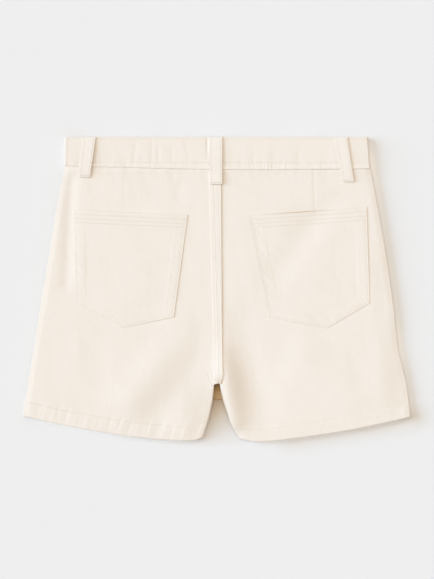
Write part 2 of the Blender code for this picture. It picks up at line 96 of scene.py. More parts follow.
FRONT_CLEARANCE = 0.0020    # the front lies this high over a loop or the button
CLEARANCE_FLAT = 0.0100     # half width of such a rise
CLEARANCE_FOOT = 0.0200     # half width of its foot
CLEARANCE_LENGTH = 0.0160   # how far it reaches below the waist seam
CLEARANCE_FADE = 0.0180     # and the length over which it then ends

OVERLAP = 0.0120            # each end of the waistband passes the centre by this
OVERLAP_RAMP = 0.0100       # the inner end climbs over the outer one in this length
FRONT_LOOP_X = 0.0850
LOOP_WIDTH = 0.0120

Place = namedtuple("Place", "y x")
Sag = namedtuple("Sag", "across drop")
Fold = namedtuple("Fold", "x0 y0 x1 y1 reach start end")
Loop = namedtuple("Loop", "name x_top width_top x_low width_low y_low rise")
Leg = namedtuple("Leg", "name side outer inner y_outer y_inner hem "
                 "roping turn slope side_shade notch_shade")
Pocket = namedtuple("Pocket", "name mouth_left mouth_right low_left tip low_right sunk gape")

SIDE_LEFT = (
    Place(0.1180, -0.1481),
    Place(0.1063, -0.1503),
    Place(0.0869, -0.1544),
    Place(0.0384, -0.1622),
    Place(-0.0102, -0.1704),
    Place(-0.0587, -0.1782),
    Place(-0.1228, -0.1886),
)
SIDE_RIGHT = (
    Place(0.1180, 0.1500),
    Place(0.0869, 0.1558),
    Place(0.0384, 0.1644),
    Place(-0.0102, 0.1716),
    Place(-0.0587, 0.1772),
    Place(-0.0780, 0.1818),
    Place(-0.0975, 0.1858),
    Place(-0.1240, 0.1886),
)
INSEAM_LEFT = (
    Place(CROTCH, -0.0021),
    Place(-0.1053, -0.0030),
    Place(-0.1247, -0.0068),
    Place(-0.1440, -0.0128),
)
INSEAM_RIGHT = (
    Place(CROTCH, 0.0031),
    Place(-0.1053, 0.0054),
    Place(-0.1199, 0.0102),
    Place(-0.1300, 0.0136),
    Place(-0.1445, 0.0215),
)
HEM_LEFT = (
    Sag(0.00, 0.0),
    Sag(0.05, 0.0036),
    Sag(0.14, 0.0059),
    Sag(0.42, 0.0072),
    Sag(0.78, 0.0040),
    Sag(1.00, 0.0),
)
HEM_RIGHT = (
    Sag(0.00, 0.0),
    Sag(0.05, 0.0030),
    Sag(0.13, 0.0062),
    Sag(0.38, 0.0068),
    Sag(0.68, 0.0050),
    Sag(1.00, 0.0),
)
SEAM_SAG = (
    Sag(-0.1500, -0.0020),
    Sag(-0.0900, -0.0003),
    Sag(-0.0100, 0.0016),
    Sag(0.0600, 0.0019),
    Sag(0.1500, 0.0010),
)
# a leg's last two numbers are the strengths of its painted shade at its side and at its inner edge
LEGS = (
    Leg("left", -1, SIDE_LEFT, INSEAM_LEFT, -0.1228, -0.1440, HEM_LEFT,
        1.0, 0.0016, 0.09, 1.0, 0.25),
    Leg("right", 1, SIDE_RIGHT, INSEAM_RIGHT, -0.1240, -0.1445, HEM_RIGHT,
        0.35, 0.0012, 0.02, 0.0, 1.0),
)
BAND_LEFT = (Place(WAIST_SEAM, -0.1481), Place(WAIST_TOP, -0.1476))
BAND_RIGHT = (Place(WAIST_SEAM, 0.1496), Place(WAIST_TOP, 0.1471))

SEAT_TOP_X = -0.0015
SEAT_LOW_X = 0.0022
FELL_TOP_WIDTH = 0.0121
FELL_LOW_WIDTH = 0.0078

BACK_LOOPS = (
    Loop("loop_back_left", -0.1231, 0.0131, -0.1278, 0.0109, 0.1088, 0.0012),
    Loop("loop_back_centre", -0.0005, 0.0131, -0.0005, 0.0126, 0.1020, 0.0008),
    Loop("loop_back_right", 0.1204, 0.0130, 0.1279, 0.0112, 0.1044, 0.0004),
)
# a pocket's last number is the strength of the painted shade in its gaping mouth
POCKETS = (
    Pocket("pocket_left", (-0.1389, 0.0777), (-0.0276, 0.0725),
           (-0.1377, -0.0146), (-0.0916, -0.0372), (-0.0412, -0.0270), (1.0, 0.9, 0.0, 0.5), 0.1),
    Pocket("pocket_right", (0.0316, 0.0721), (0.1461, 0.0799),
           (0.0519, -0.0275), (0.1072, -0.0377), (0.1488, -0.0133), (1.0, 0.3, 0.5, 0.55), 0.8),
)

# ------------------------------------------------------------------ listed creases
# soft troughs (heights below 0) and ridges of the backs, as the solids have them
FOLDS = (
    Fold(-0.0100, -0.0660, -0.0570, -0.1210, 0.0180, -0.0012, -0.0018),
    Fold(-0.0320, -0.0440, -0.0800, -0.1010, 0.0190, 0.0008, 0.0026),
    Fold(-0.0080, -0.1080, -0.0150, -0.1400, 0.0110, -0.0002, -0.0006),
    Fold(-0.1410, 0.1050, -0.1460, 0.0050, 0.0060, -0.0011, -0.0009),
    Fold(0.0050, -0.0640, 0.0160, -0.1280, 0.0120, 0.0014, 0.0029),
    Fold(0.0230, -0.0400, 0.0400, -0.1100, 0.0150, -0.0008, -0.0008),
    Fold(0.0340, -0.0400, 0.0540, -0.1100, 0.0200, -0.0007, -0.0008),
    Fold(0.0990, 0.0700, 0.0600, 0.0180, 0.0135, -0.0012, -0.0012),
    Fold(0.1780, -0.0450, 0.1810, -0.1120, 0.0110, -0.0010, -0.0007),
    Fold(0.0900, -0.0650, 0.1300, -0.1050, 0.0200, 0.0011, 0.0011),
)
# smaller ones, which the solids leave out
CREASE_FADE = 1.1           # reach of a crease along its line, in half lengths
CREASES = (
    Fold(0.0066, -0.0740, 0.0142, -0.1280, 0.0060, 0.0003, 0.0003),
    Fold(0.0035, -0.0420, 0.0075, -0.0880, 0.0075, 0.0006, 0.0006),
    Fold(0.0075, -0.0560, 0.0180, -0.1250, 0.0100, 0.0008, 0.0014),
    Fold(0.0290, -0.0550, 0.0420, -0.1150, 0.0120, -0.0007, -0.0008),
    Fold(0.1560, -0.0500, 0.1600, -0.1150, 0.0130, 0.0007, 0.0009),
    Fold(0.0140, -0.1330, 0.0200, -0.1480, 0.0100, -0.0014, -0.0018),
    Fold(-0.0030, -0.0950, -0.0120, -0.1400, 0.0100, -0.0004, -0.0009),
    Fold(-0.0290, -0.0950, -0.0340, -0.1350, 0.0110, 0.0005, 0.0006),
    Fold(-0.0050, -0.0780, -0.0012, -0.0900, 0.0010, -0.0005, -0.0005),
    Fold(-0.0085, -0.0810, -0.0030, -0.0920, 0.0011, -0.0005, -0.0004),
    Fold(0.0092, -0.0800, 0.0056, -0.0910, 0.0010, -0.0005, -0.0005),
    Fold(-0.1300, 0.0600, -0.1330, -0.0200, 0.0060, 0.00035, 0.00035),
    Fold(-0.0200, 0.0650, -0.0330, -0.0100, 0.0090, -0.00035, -0.00035),
    Fold(-0.0080, -0.0400, -0.0140, -0.0900, 0.0060, 0.00035, 0.00035),
    Fold(-0.1280, -0.0350, -0.1420, -0.0900, 0.0120, 0.00040, 0.00040),
    Fold(-0.1080, -0.0450, -0.1150, -0.1000, 0.0090, -0.00030, -0.00030),
    Fold(0.1240, 0.0960, 0.1040, 0.0760, 0.0090, -0.00045, -0.00045),
    Fold(0.0320, 0.1020, 0.0560, 0.0880, 0.0080, -0.00030, -0.00030),
    Fold(0.0620, -0.0560, 0.0500, -0.1100, 0.0120, -0.00035, -0.00035),
    Fold(0.1500, 0.0300, 0.1540, -0.0300, 0.0070, 0.00040, 0.00040),
    Fold(-0.0640, 0.1060, -0.0620, 0.0860, 0.0060, -0.00025, -0.00025),
    Fold(-0.0330, 0.1080, -0.0380, 0.0820, 0.0055, -0.00030, -0.00030),
)
# and painted warm shade on the backs beside the legs' parting, deeper towards a line's end
PAINTED_WARM_SHADES = (
    Fold(0.0100, -0.0500, 0.0200, -0.1150, 0.0170, 0.06, 0.15),
    Fold(-0.0330, -0.1300, -0.0200, -0.0880, 0.0130, 0.09, 0.08),
)


def mix(start, end, share):
    return start + (end - start) * share


def ease(share):
    """Go smoothly from 0 to 1 as share does, and stay level outside that."""
    share = np.clip(share, 0.0, 1.0)
    return share * share * (3.0 - 2.0 * share)


def bump(distance, reach):
    """A bell of height 1 that falls away over reach."""
    return np.exp(-(distance / reach) ** 2)


def follow(table, place):
    """Read a smooth line through a table, whose first column is the place along it."""
    rows = np.array(sorted(tuple(row) for row in table))
    at, value = rows[:, 0], rows[:, 1]
    before = np.maximum(np.arange(len(at)) - 1, 0)
    after = np.minimum(np.arange(len(at)) + 1, len(at) - 1)
    slope = (value[after] - value[before]) / (at[after] - at[before])
    place = np.asarray(place, float)
    index = np.searchsorted(at[1:-1], place)
    length = at[index + 1] - at[index]
    share = (place - at[index]) / length
    start, end = value[index], value[index + 1]
    bend_start, bend_end = slope[index] * length, slope[index + 1] * length
    cubic = 2 * start - 2 * end + bend_start + bend_end
    square = 3 * end - 3 * start - 2 * bend_start - bend_end
    return ((cubic * share + square) * share + bend_start) * share + start


def seat_x(y):
    """The centre-back seam's place across the body."""
    return mix(SEAT_TOP_X, SEAT_LOW_X, (WAIST_SEAM - y) / (WAIST_SEAM - CROTCH))


def front_seam_x(y):
    """The centre-front seam's place, straight above its lower half."""
    return SEAT_LOW_X * ease(y / CROTCH)


def skirt_hem(x):
    return SKIRT_HEM + SKIRT_HEM_RISE * (x / HALF_SPREAD) ** 2


def seam_sag(x):
    """How far the waist seam hangs below its straight line."""
    return follow(SEAM_SAG, np.clip(x, SEAM_SAG[0].across, SEAM_SAG[-1].across))


def along_fold(x, y, fold):
    """How far along a fold's line a point is, from 0 to 1 between its ends."""
    run_x, run_y = fold.x1 - fold.x0, fold.y1 - fold.y0
    return ((x - fold.x0) * run_x + (y - fold.y0) * run_y) / (run_x ** 2 + run_y ** 2)


def height_at(x, y, fold, share):
    """Height of a fold beside the point of its line at a share of its length."""
    away = np.hypot(x - mix(fold.x0, fold.x1, share), y - mix(fold.y0, fold.y1, share))
    return mix(fold.start, fold.end, share) * bump(away, fold.reach)


def fold_height(x, y, fold):
    """A soft trough or ridge with round ends."""
    return height_at(x, y, fold, np.clip(along_fold(x, y, fold), 0.0, 1.0))


def crease_height(x, y, fold):
    """A soft trough or ridge that fades towards both of its ends."""
    share = along_fold(x, y, fold)
    return height_at(x, y, fold, share) * bump(2 * share - 1, CREASE_FADE)


def back_lie(x, y):
    """Height of the backs' upper face away from their edges, with its soft folds."""
    return BACK_HEIGHT + sum(fold_height(x, y, fold) for fold in FOLDS)


def front_rise(x, y):
    """How far the front lies off the surface, over the front loops and the button."""
    nearest = np.minimum(np.abs(x), np.abs(np.abs(x) - FRONT_LOOP_X))
    across = (CLEARANCE_FOOT - nearest) / (CLEARANCE_FOOT - CLEARANCE_FLAT)
    below = (WAIST_SEAM - y - CLEARANCE_LENGTH) / CLEARANCE_FADE
    return FRONT_CLEARANCE * np.clip(across, 0.0, 1.0) * (1.0 - np.clip(below, 0.0, 1.0))


# what the shorts' fronts lie on: distance above the skirt's hem, height of the sheet's base
SHELF = (
    (-0.0090, LEG_FOOT),
    (-0.0010, DOUBLE + GAP),
    (SKIRT_HEM_DEPTH + GAP, DOUBLE + GAP),
    (SKIRT_HEM_DEPTH + 0.0070, TWILL + GAP),
)


def front_base(x, y):
    """Height of the lower face of the shorts' fronts, over the skirt panel and past it."""
    distances, bases = zip(*SHELF)
    return np.interp(y - skirt_hem(x), distances, bases) + front_rise(x, y)


# ------------------------------------------------------------------ fine relief
Dart = namedtuple("Dart", "x_top x_low y_low side depth")
DARTS = (
    Dart(-0.0890, -0.0880, 0.0752, 1, 0.00007),
    Dart(0.0935, 0.0955, 0.0757, -1, 0.00018),
)
DART_GROOVE_REACH = 0.0011
DART_STEP_REACH = 0.0060    # the cloth folded under it shows on one side, over this
DART_STEP = 0.8             # as high as this share of its groove
DART_POINT = 0.0040         # it fades to its point over this

# unevenness of laid cloth: direction in degrees, wavelength, height, start
Wave = namedtuple("Wave", "direction length height start")


def waves(seed, count, shortest, longest, steepness):
    """Waves in all directions, longer ones higher, the same ones each run."""
    chance = np.random.default_rng(seed)
    found = []
    for _ in range(count):
        length = shortest * (longest / shortest) ** chance.uniform()
        found.append(Wave(chance.uniform(0.0, 180.0), length, steepness * length,
                          chance.uniform(0.0, 2 * math.pi)))
    return found


WAVES = waves(2, 9, 0.030, 0.090, 0.0010) + waves(6, 16, 0.007, 0.020, 0.0008)

Ripple = namedtuple("Ripple", "place height reach lean")
TICK_REACH = 0.00065
# ranges of the puckers' chance: shares of their height, pitch and depth, and changes of lean
RIPPLE_HEIGHTS, RIPPLE_REACHES = (0.35, 1.0), (0.20, 0.34)
RIPPLE_PITCHES, RIPPLE_LEANS = (0.65, 1.35), (-0.15, 0.15)
TICK_PITCHES, TICK_DEPTHS, TICK_LEANS = (0.6, 1.4), (0.4, 1.0), (-0.1, 0.1)


def ripples(seed, start, end, pitch, height, lean=0.0):
    """Puckers along a seam, unevenly spaced, high and wide, the same ones each run."""
    chance = np.random.default_rng(seed)
    found = []
    place = start
    while place < end:
        tall = height * chance.uniform(*RIPPLE_HEIGHTS) * chance.choice((-1, 1, 1))
        wide = pitch * chance.uniform(*RIPPLE_REACHES)
        found.append(Ripple(place, tall, wide, lean + chance.uniform(*RIPPLE_LEANS)))
        place += pitch * chance.uniform(*RIPPLE_PITCHES)
    return found


def ticks(seed, start, end, pitch, depth, lean=0.0, reach=TICK_REACH):
    """Narrow dents that a row of stitches pulls, unevenly spaced, the same ones each run."""
    chance = np.random.default_rng(seed)
    pitches = pitch * chance.uniform(*TICK_PITCHES, round((end - start) / pitch))
    return [Ripple(place, -depth * chance.uniform(*TICK_DEPTHS), reach,
                   lean + chance.uniform(*TICK_LEANS)) for place in np.cumsum(pitches) + start]


def ripple_height(found, along, away):
    """Height of those puckers at a place along the seam and a distance away from it."""
    return sum(r.height * bump(along - r.place - r.lean * away, r.reach) for r in found)


def dart_height(x, y, dart):
    share = np.clip((WAIST_SEAM - y) / (WAIST_SEAM - dart.y_low), 0.0, 1.0)
    aside = (x - mix(dart.x_top, dart.x_low, share)) * dart.side
    inside = ease((y - dart.y_low + DART_POINT) / DART_POINT)
    step = DART_STEP * bump(aside, DART_STEP_REACH) * ease(aside / DART_GROOVE_REACH)
    return inside * dart.depth * (step - bump(aside, DART_GROOVE_REACH))


def drift(x, y):
    """The slow unevenness of cloth that lies free."""
    height = 0.0
    for wave in WAVES:
        angle = math.radians(wave.direction)
        run = x * math.cos(angle) + y * math.sin(angle)
        height = height + wave.height * np.sin(2 * math.pi * run / wave.length + wave.start)
    return height


WAIST_RIPPLES = ripples(3, -0.1420, 0.1440, 0.0085, 0.00022, 0.10)
WAIST_REACH = 0.0110        # they fade out within this below the waist seam
ALLOWANCE_LINE = 0.0050     # the seam allowance shows through this far below the seam
ALLOWANCE_SWELL = 0.00040
ALLOWANCE_REACH = 0.0090
ALLOWANCE_STEP = 0.00018    # height of the step at that line
ALLOWANCE_SLOPE = 0.0010    # and the length of its slope
SEAM_DIP = 0.0002           # the seam pulls the cloth down by this
SEAM_DIP_REACH = 0.0016


def back_cloth(x, y):
    """Height of the backs' upper face with its creases, darts and gathers."""
    height = back_lie(x, y) + drift(x, y)
    height = height + sum(crease_height(x, y, crease) for crease in CREASES)
    height = height + sum(dart_height(x, y, dart) for dart in DARTS)
    below = WAIST_SEAM - y
    past = ease((below - ALLOWANCE_LINE) / ALLOWANCE_SLOPE + 0.5)
    allowance = ALLOWANCE_SWELL * bump(below, ALLOWANCE_REACH) + ALLOWANCE_STEP * (1.0 - past)
    allowance = allowance - SEAM_DIP * bump(below, SEAM_DIP_REACH)
    return height + allowance + ripple_height(WAIST_RIPPLES, x, below) * bump(below, WAIST_REACH)


# ------------------------------------------------------------------ sheets of cloth
Surface = namedtuple("Surface", "points wall edge recess rim weave")

SEAM_EDGE = 0.00025         # an edge that meets another in a seam is round over this
THIN_EDGE = 0.0003          # and the edge of a pressed strip or pocket over this
SEAM_GAP = -0.0002          # below 0: sewn edges run into each other, without a gap
SEAM_RIM = 0.2              # and the groove between them is this share of the wall deep
LINE_REACH = 0.0009         # a grid is finer this far to both sides of a stitched line
LINE_CELL = 0.00015         # but never finer than this


def cloth_of(x, y, z, wall, edge=None, recess=0.0, rim=0.5, weave=None):
    """The upper face of a sheet, its threads along x and y unless weave has other places.

    Without an edge it is rounded over half of its wall. Single values count for all points.
    """
    points = np.stack(np.broadcast_arrays(x, y, z), axis=-1)
    even = np.zeros(points.shape[:2])
    edge = wall / 2 if edge is None else edge
    weave = points[..., :2] if weave is None else weave
    return Surface(points, wall + even, edge + even, recess + even, rim + even, weave)


def near(radius, count=4):
    """Distances from an edge that is rounded with a radius, closer together towards it."""
    return radius * (1 - np.cos(np.linspace(0.0, math.pi / 2, count)))


def spread(length, step, start, end=None):
    """Places along one or many lengths, closer together at both ends."""
    end = start if end is None else end
    length = np.atleast_1d(length)[:, None]
    room = length - start[-1] - end[-1]
    count = max(2, round(float(room.max()) / step))
    share = np.linspace(0.0, 1.0, count + 1)[1:-1]
    flat = np.zeros_like(length)
    return np.hstack([start + flat, start[-1] + share * room, length - end[::-1]])


def with_lines(places, lines):
    """The same places, closer together about some lines across them."""
    about = np.concatenate([line + np.linspace(-LINE_REACH, LINE_REACH, 5) for line in lines])
    places = np.union1d(places, about)
    return places[np.append(np.diff(places) > LINE_CELL, True)]


def normals_of(points):
    """Unit normals of a grid of points whose rows run down and columns run to the right."""
    down = np.gradient(points, axis=0)
    across = np.gradient(points, axis=1)
    normal = np.cross(down, across)
    return normal / np.linalg.norm(normal, axis=2, keepdims=True)


def run_along(points, axis=0):
    """How far along its line each point is, for one line or for all lines of a grid."""
    step = np.linalg.norm(np.diff(points, axis=axis), axis=-1)
    return np.insert(np.cumsum(step, axis=axis), 0, 0.0, axis=axis)


def read_line(wanted, places, points):
    """Points or normals of a line at the wanted places along it."""
    return np.stack([np.interp(wanted, places, axis) for axis in points.T], axis=-1)


def edge_distance(points):
    """Distance of each grid point from the nearest border, along the surface."""
    runs = [run_along(points, axis) for axis in (0, 1)]
    nearer = [np.minimum(run, run.take([-1], axis) - run) for axis, run in enumerate(runs)]
    return np.minimum(*nearer)


def new_object(name, vertices, faces, material):
    """An object of these faces, smoothly shaded."""
    mesh = bpy.data.meshes.new(name)
    mesh.from_pydata(vertices.tolist(), [], faces)
    mesh.update()
    mesh.shade_smooth()
    mesh.materials.append(material)
    piece = bpy.data.objects.new(name, mesh)
    bpy.context.scene.collection.objects.link(piece)
    return piece


def corners_of(index):
    """The faces of a grid, from the grid of its points' numbers."""
    around = (index[:-1, :-1], index[1:, :-1], index[1:, 1:], index[:-1, 1:])
    return np.stack(around, axis=-1).reshape(-1, 4)


def make_sheet(name, surface, material):
    """Give a surface its wall below it and round its border, as one closed shell.

    The border runs down the wall by the surface's rim, a share of the wall.
    """
    points = surface.points
    wall, edge, rim = (part[..., None] for part in (surface.wall, surface.edge, surface.rim))
    normal = normals_of(points)
    reach = np.clip(edge_distance(points)[..., None] / edge, 0.0, 1.0)
    round_off = np.sqrt(1.0 - (1.0 - reach) ** 2)
    upper = points - normal * wall * rim * (1.0 - round_off)
    lower = points - normal * wall * mix(rim, 1.0, round_off)
    top = np.arange(surface.wall.size).reshape(surface.wall.shape)
    inner = np.zeros(top.shape, bool)
    inner[1:-1, 1:-1] = True
    bottom = top.copy()
    bottom[inner] = top.size + np.arange(inner.sum())
    faces = np.concatenate([corners_of(top), corners_of(bottom)[:, ::-1]])
    vertices = np.concatenate([upper.reshape(-1, 3), lower[inner]])
    piece = new_object(name, vertices, faces.tolist(), material)
    corner = np.zeros(len(piece.data.loops), np.int32)
    piece.data.loops.foreach_get("vertex_index", corner)
    weave = np.concatenate([surface.weave.reshape(-1, 2), surface.weave[inner]])
    layer = piece.data.uv_layers.new(name="weave")
    layer.data.foreach_set("uv", weave[corner].astype(np.float32).ravel())
    # painted shade: the upper face carries the recess attribute, which darkens the cloth's colour
    # where shade falls; the lower face gets none
    shade = piece.data.attributes.new("recess", "FLOAT", "POINT")
    values = np.concatenate([surface.recess.ravel(), 0 * surface.recess[inner]])
    shade.data.foreach_set("value", values.astype(np.float32))
    return piece


def dress(piece, nodes):
    """Put a finished piece in the place of its solids."""
    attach(piece, "root")
    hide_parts(*nodes)
    return piece


# ------------------------------------------------------------------ leg panels
def leg_edges(leg, seam, tuck):
    """The lines of a leg panel's left and right edges, as functions of y."""
    def outer(y):
        return follow(leg.outer, y) - leg.side * tuck

    def inner(y):
        return np.where(y >= CROTCH, seam(y) + leg.side * GAP / 2,
                        follow(leg.inner, y) + leg.side * tuck)

    return (outer, inner) if leg.side < 0 else (inner, outer)


EDGE_SHADE = 0.12           # painted shade on folded edges, darkening their colour
EDGE_SHADE_REACH = 0.0012
WALL_SHADE = 0.30           # and more painted shade where they turn down
WALL_SHADE_WIDTH = 0.0020
SIDE_SLOPE = 0.10           # the slope's share of the height at the sides
TURN_SLOPE = 0.0065         # and its length
SAG_FADE = 0.0300           # the waist seam's sag fades out within this below it
SEWN_STRIP = 0.0030         # a back's edges are sewn ones this far down, free from twice this on
TURN_REACH = 0.0010         # the fronts' hems are tucked in from this far above them

HEM_ROW = 0.0010            # a hem's stitches lie this far below its upper edge
HEM_STEP = 0.0016           # the step at that edge is this long
HEM_SWELL = 0.00035         # a hem stands this much prouder than the cloth above it
HEM_GROOVE = 0.00022        # depth of the groove that its stitches pull
GROOVE_REACH = 0.0008       # half width of such grooves
HEM_RUN = 0.2000            # length of the run of puckers across each hem
HEM_SEED, PULL_SEED = 11, 23
FOLD_POINTS = 8             # columns of points in the bend of a panel's edge
HEM_PULL = 0.00023
HEM_PULL_REACH = 0.0011
ROPING_PITCH = 0.0092
ROPING_HEIGHT = 0.00024
ROPING_LEAN = -0.30
ROPING_ABOVE = 0.0035       # the puckers fade out within this above the stitches
ROPING_END = 0.0110         # and fall to a share of their height from here on
ROPING_FADE = 0.0040
ROPING_LOW = 0.4

NOTCH_REACH = 0.0016        # the legs' inner edges get painted shade over this
NOTCH_LOW, NOTCH_HIGH = 0.3, 0.75   # less at the hems than higher up
NOTCH_Y = -0.1350           # it grows from here upwards
NOTCH_RISE = 0.0300         # over this length
ROW_SHADE = 0.03            # painted shade along the hem's row of stitches
ROW_SHADE_REACH = 0.0007

LegGrid = namedtuple("LegGrid", "x y to_side to_centre down into y_centre")


def leg_grid(leg, seam, tuck_of, step, fold):
    """A grid over a leg panel: rows from waist to hem, columns from left to right.

    Down is measured from the waist and into from the hem's upper edge, both along the cloth.
    """
    waist = WAIST_SEAM - SEAM_GAP
    hem_start = waist - leg.y_inner - HEM_DEPTH
    down = spread(hem_start + HEM_DEPTH, step, near(TWILL / 2), near(DOUBLE / 2))[0]
    down = with_lines(down, (ALLOWANCE_LINE, hem_start, hem_start + HEM_ROW))
    share = np.clip(down / hem_start, 0.0, 1.0)
    turned = np.clip(down - hem_start, 0.0, None)
    y_inner = mix(waist, leg.y_inner + HEM_DEPTH, share) - turned
    y_outer = mix(waist, leg.y_outer + HEM_DEPTH, share) - turned
    y_left, y_right = (y_outer, y_inner) if leg.side < 0 else (y_inner, y_outer)
    left, right = leg_edges(leg, seam, tuck_of(y_outer))
    x_left, x_right = left(y_left), right(y_right)
    width = x_right - x_left
    from_left = spread(width, step, near(fold, FOLD_POINTS))
    across = from_left / width[:, None]
    from_centre = 1.0 - across if leg.side < 0 else across
    y = mix(y_left[:, None], y_right[:, None], across)
    y = y - share[:, None] * follow(leg.hem, from_centre)
    x = x_left[:, None] + from_left
    down = down[:, None] + 0 * x
    y = y - seam_sag(x) * (1.0 - ease(down / SAG_FADE))
    from_right = width[:, None] - from_left
    ends = (from_left, from_right) if leg.side < 0 else (from_right, from_left)
    return LegGrid(x, y, *ends, down, down - hem_start, y_inner[:, None] + 0 * x)


def rounding(distance, radius, slope):
    """Share of the full height at a distance from a turned-down edge: a bend, then a slope."""
    share = np.clip(distance / radius, 0.0, 1.0)
    bend = np.sqrt(1.0 - (1.0 - share) ** 2)
    return mix(bend, ease(distance / TURN_SLOPE), slope)


def hem_wall(into):
    """The wall of a panel, twice as thick where its hem is turned up."""
    return mix(TWILL, DOUBLE, ease((into + TWILL / 2) / TWILL))


def hem_height(leg, grid):
    """The turned-up hem's band, its stitched groove and the slanting puckers across it."""
    into = grid.into
    puckers = ripples(HEM_SEED + leg.side, 0.0, HEM_RUN, ROPING_PITCH, ROPING_HEIGHT * leg.roping,
                      ROPING_LEAN)
    pulls = ticks(PULL_SEED + leg.side, 0.0, HEM_RUN, ROPING_PITCH, HEM_PULL * leg.roping,
                  ROPING_LEAN, HEM_PULL_REACH)
    rope = ripple_height(puckers + pulls, grid.x * leg.side, into * leg.side)
    fade = mix(1.0, ROPING_LOW, ease((into - ROPING_END) / ROPING_FADE))
    fade = np.where(into < HEM_ROW, bump(into - HEM_ROW, ROPING_ABOVE), fade)
    groove = HEM_GROOVE * bump(into - HEM_ROW, GROOVE_REACH)
    return HEM_SWELL * ease(into / HEM_STEP) - groove + rope * fade


def back_shade(leg, grid, settled, share):
    """How much painted shade darkens a back: at its edges, its hem's row, beside and at the legs'
    parting.
    """
    up = ease((grid.y - NOTCH_Y) / NOTCH_RISE)
    notch = settled * bump(grid.to_centre, NOTCH_REACH) * mix(NOTCH_LOW, NOTCH_HIGH, up)
    turned_down = (1.0 - share) * (grid.to_side < WALL_SHADE_WIDTH)
    return np.maximum.reduce([
        leg.notch_shade * notch,
        sum(crease_height(grid.x, grid.y, place) for place in PAINTED_WARM_SHADES),
        ROW_SHADE * bump(grid.into - HEM_ROW, ROW_SHADE_REACH),
        leg.side_shade * EDGE_SHADE * bump(grid.to_side, EDGE_SHADE_REACH),
        leg.side_shade * WALL_SHADE * turned_down,
    ])


def back_surface(leg, step):
    """A back of the shorts, turned down at its side fold and, below the crotch, at its inseam."""
    grid = leg_grid(leg, seat_x, lambda y: 0.0, step, FOLD_RADIUS)
    settled = ease((CROTCH - grid.y_centre) / SEAT_LIP)
    share = rounding(grid.to_side, SIDE_TURN, SIDE_SLOPE)
    share = share * mix(1.0, rounding(grid.to_centre, leg.turn, leg.slope), settled)
    foot = np.where(grid.to_side < grid.to_centre, FOOT, FOOT + front_base(grid.x, grid.y))
    top = back_cloth(grid.x, grid.y) + hem_height(leg, grid)
    wall = hem_wall(grid.into)
    sewn = 1.0 - ease(grid.down / SEWN_STRIP - 1.0)
    return cloth_of(grid.x, grid.y, mix(foot, top, share), wall, mix(wall / 2, SEAM_EDGE, sewn),
                    back_shade(leg, grid, settled, share), mix(0.5, SEAM_RIM, sewn))


NOTCH_HALF_WIDTH = 0.0080   # the sheets under the legs' parting get painted shade over this
NOTCH_SIDE_FADE = 0.0060
NOTCH_TOP = 0.0080          # up to this far above the crotch
NOTCH_TOP_FADE = 0.0100
NOTCH_HEM = 0.93            # and a little less at the skirt panel's hem
NOTCH_HEM_FADE = 0.0060


def notch_painted_shade(x, y):
    """How much painted shade a place gets between the legs, from 0 to 1."""
    beside = 1.0 - ease((np.abs(x - SEAT_LOW_X) - NOTCH_HALF_WIDTH) / NOTCH_SIDE_FADE)
    below = 1.0 - ease((y - CROTCH - NOTCH_TOP) / NOTCH_TOP_FADE)
    above_hem = ease((y - SKIRT_HEM) / NOTCH_HEM_FADE - 1.0)
    return beside * below * mix(NOTCH_HEM, 1.0, above_hem)


def front_surface(leg, step):
    """A front of the shorts, tucked in beside the back's side wall."""
    def tuck_of(y):
        lift = front_base(follow(leg.outer, y), y)
        wall = np.where(y < leg.y_outer + HEM_DEPTH + TURN_REACH, DOUBLE, TWILL)
        return SIDE_CLEARANCE + wall + TUCK_PER_RISE * lift

    grid = leg_grid(leg, front_seam_x, tuck_of, step, TWILL / 2)
    wall = hem_wall(grid.into)
    return cloth_of(grid.x, grid.y, front_base(grid.x, grid.y) + wall, wall,
                    recess=notch_painted_shade(grid.x, grid.y))


def skirt_surface(step):
    """The front skirt panel, from side seam to side seam under the shorts' fronts."""
    y_side = SKIRT_HEM + SKIRT_HEM_RISE
    waist = WAIST_SEAM - GAP
    hem_start = waist - y_side - SKIRT_HEM_DEPTH
    down = spread(hem_start + SKIRT_HEM_DEPTH, step, near(TWILL / 2), near(DOUBLE / 2))[0]
    share = np.clip(down / hem_start, 0.0, 1.0)
    level = mix(waist, y_side + SKIRT_HEM_DEPTH, share) - np.clip(down - hem_start, 0.0, None)
    x_left = follow(SIDE_LEFT, level) + TWILL + SIDE_CLEARANCE
    width = follow(SIDE_RIGHT, level) - TWILL - SIDE_CLEARANCE - x_left
    from_left = spread(width, step, near(TWILL / 2))
    across = from_left / width[:, None]
    sag = y_side - skirt_hem((2 * across - 1) * HALF_SPREAD)
    x = x_left[:, None] + from_left
    y = level[:, None] - share[:, None] * sag
    wall = hem_wall(down[:, None] - hem_start)
    return cloth_of(x, y, front_rise(x, y) + wall, wall, recess=notch_painted_shade(x, y))


FELL_ROWS = (-0.0020, 0.0022)   # the fell's two rows of stitches, from its middle
FELL_GROOVE = 0.00008
STRIP_GROOVE_REACH = 0.0006     # half width of the grooves in the fell and the belt loops
FELL_PINCH = 0.30           # it is narrower by this share at the crotch
FELL_PINCH_REACH = 0.0035
FELL_TILT = 0.00025         # its wearer's-right edge stands off by this
FELL_TWIST = 0.0800         # and its other edge at the crotch, over this length
FELL_GATHERS = ripples(29, 0.0, 0.0240, 0.0036, 0.0006)
GATHER_REACH = 0.0080       # its gathers fade out within this of the crotch
PLEAT_PITCH = 0.0030        # they get painted shade as pleats across it
PLEAT_OFFSET = 0.0004
PLEAT_PLACE, PLEAT_REACH = 0.0010, 0.0036
PLEAT_SHADE = 0.55
CROTCH_SHADE = 0.12
CROTCH_SHADE_REACH = 0.0090


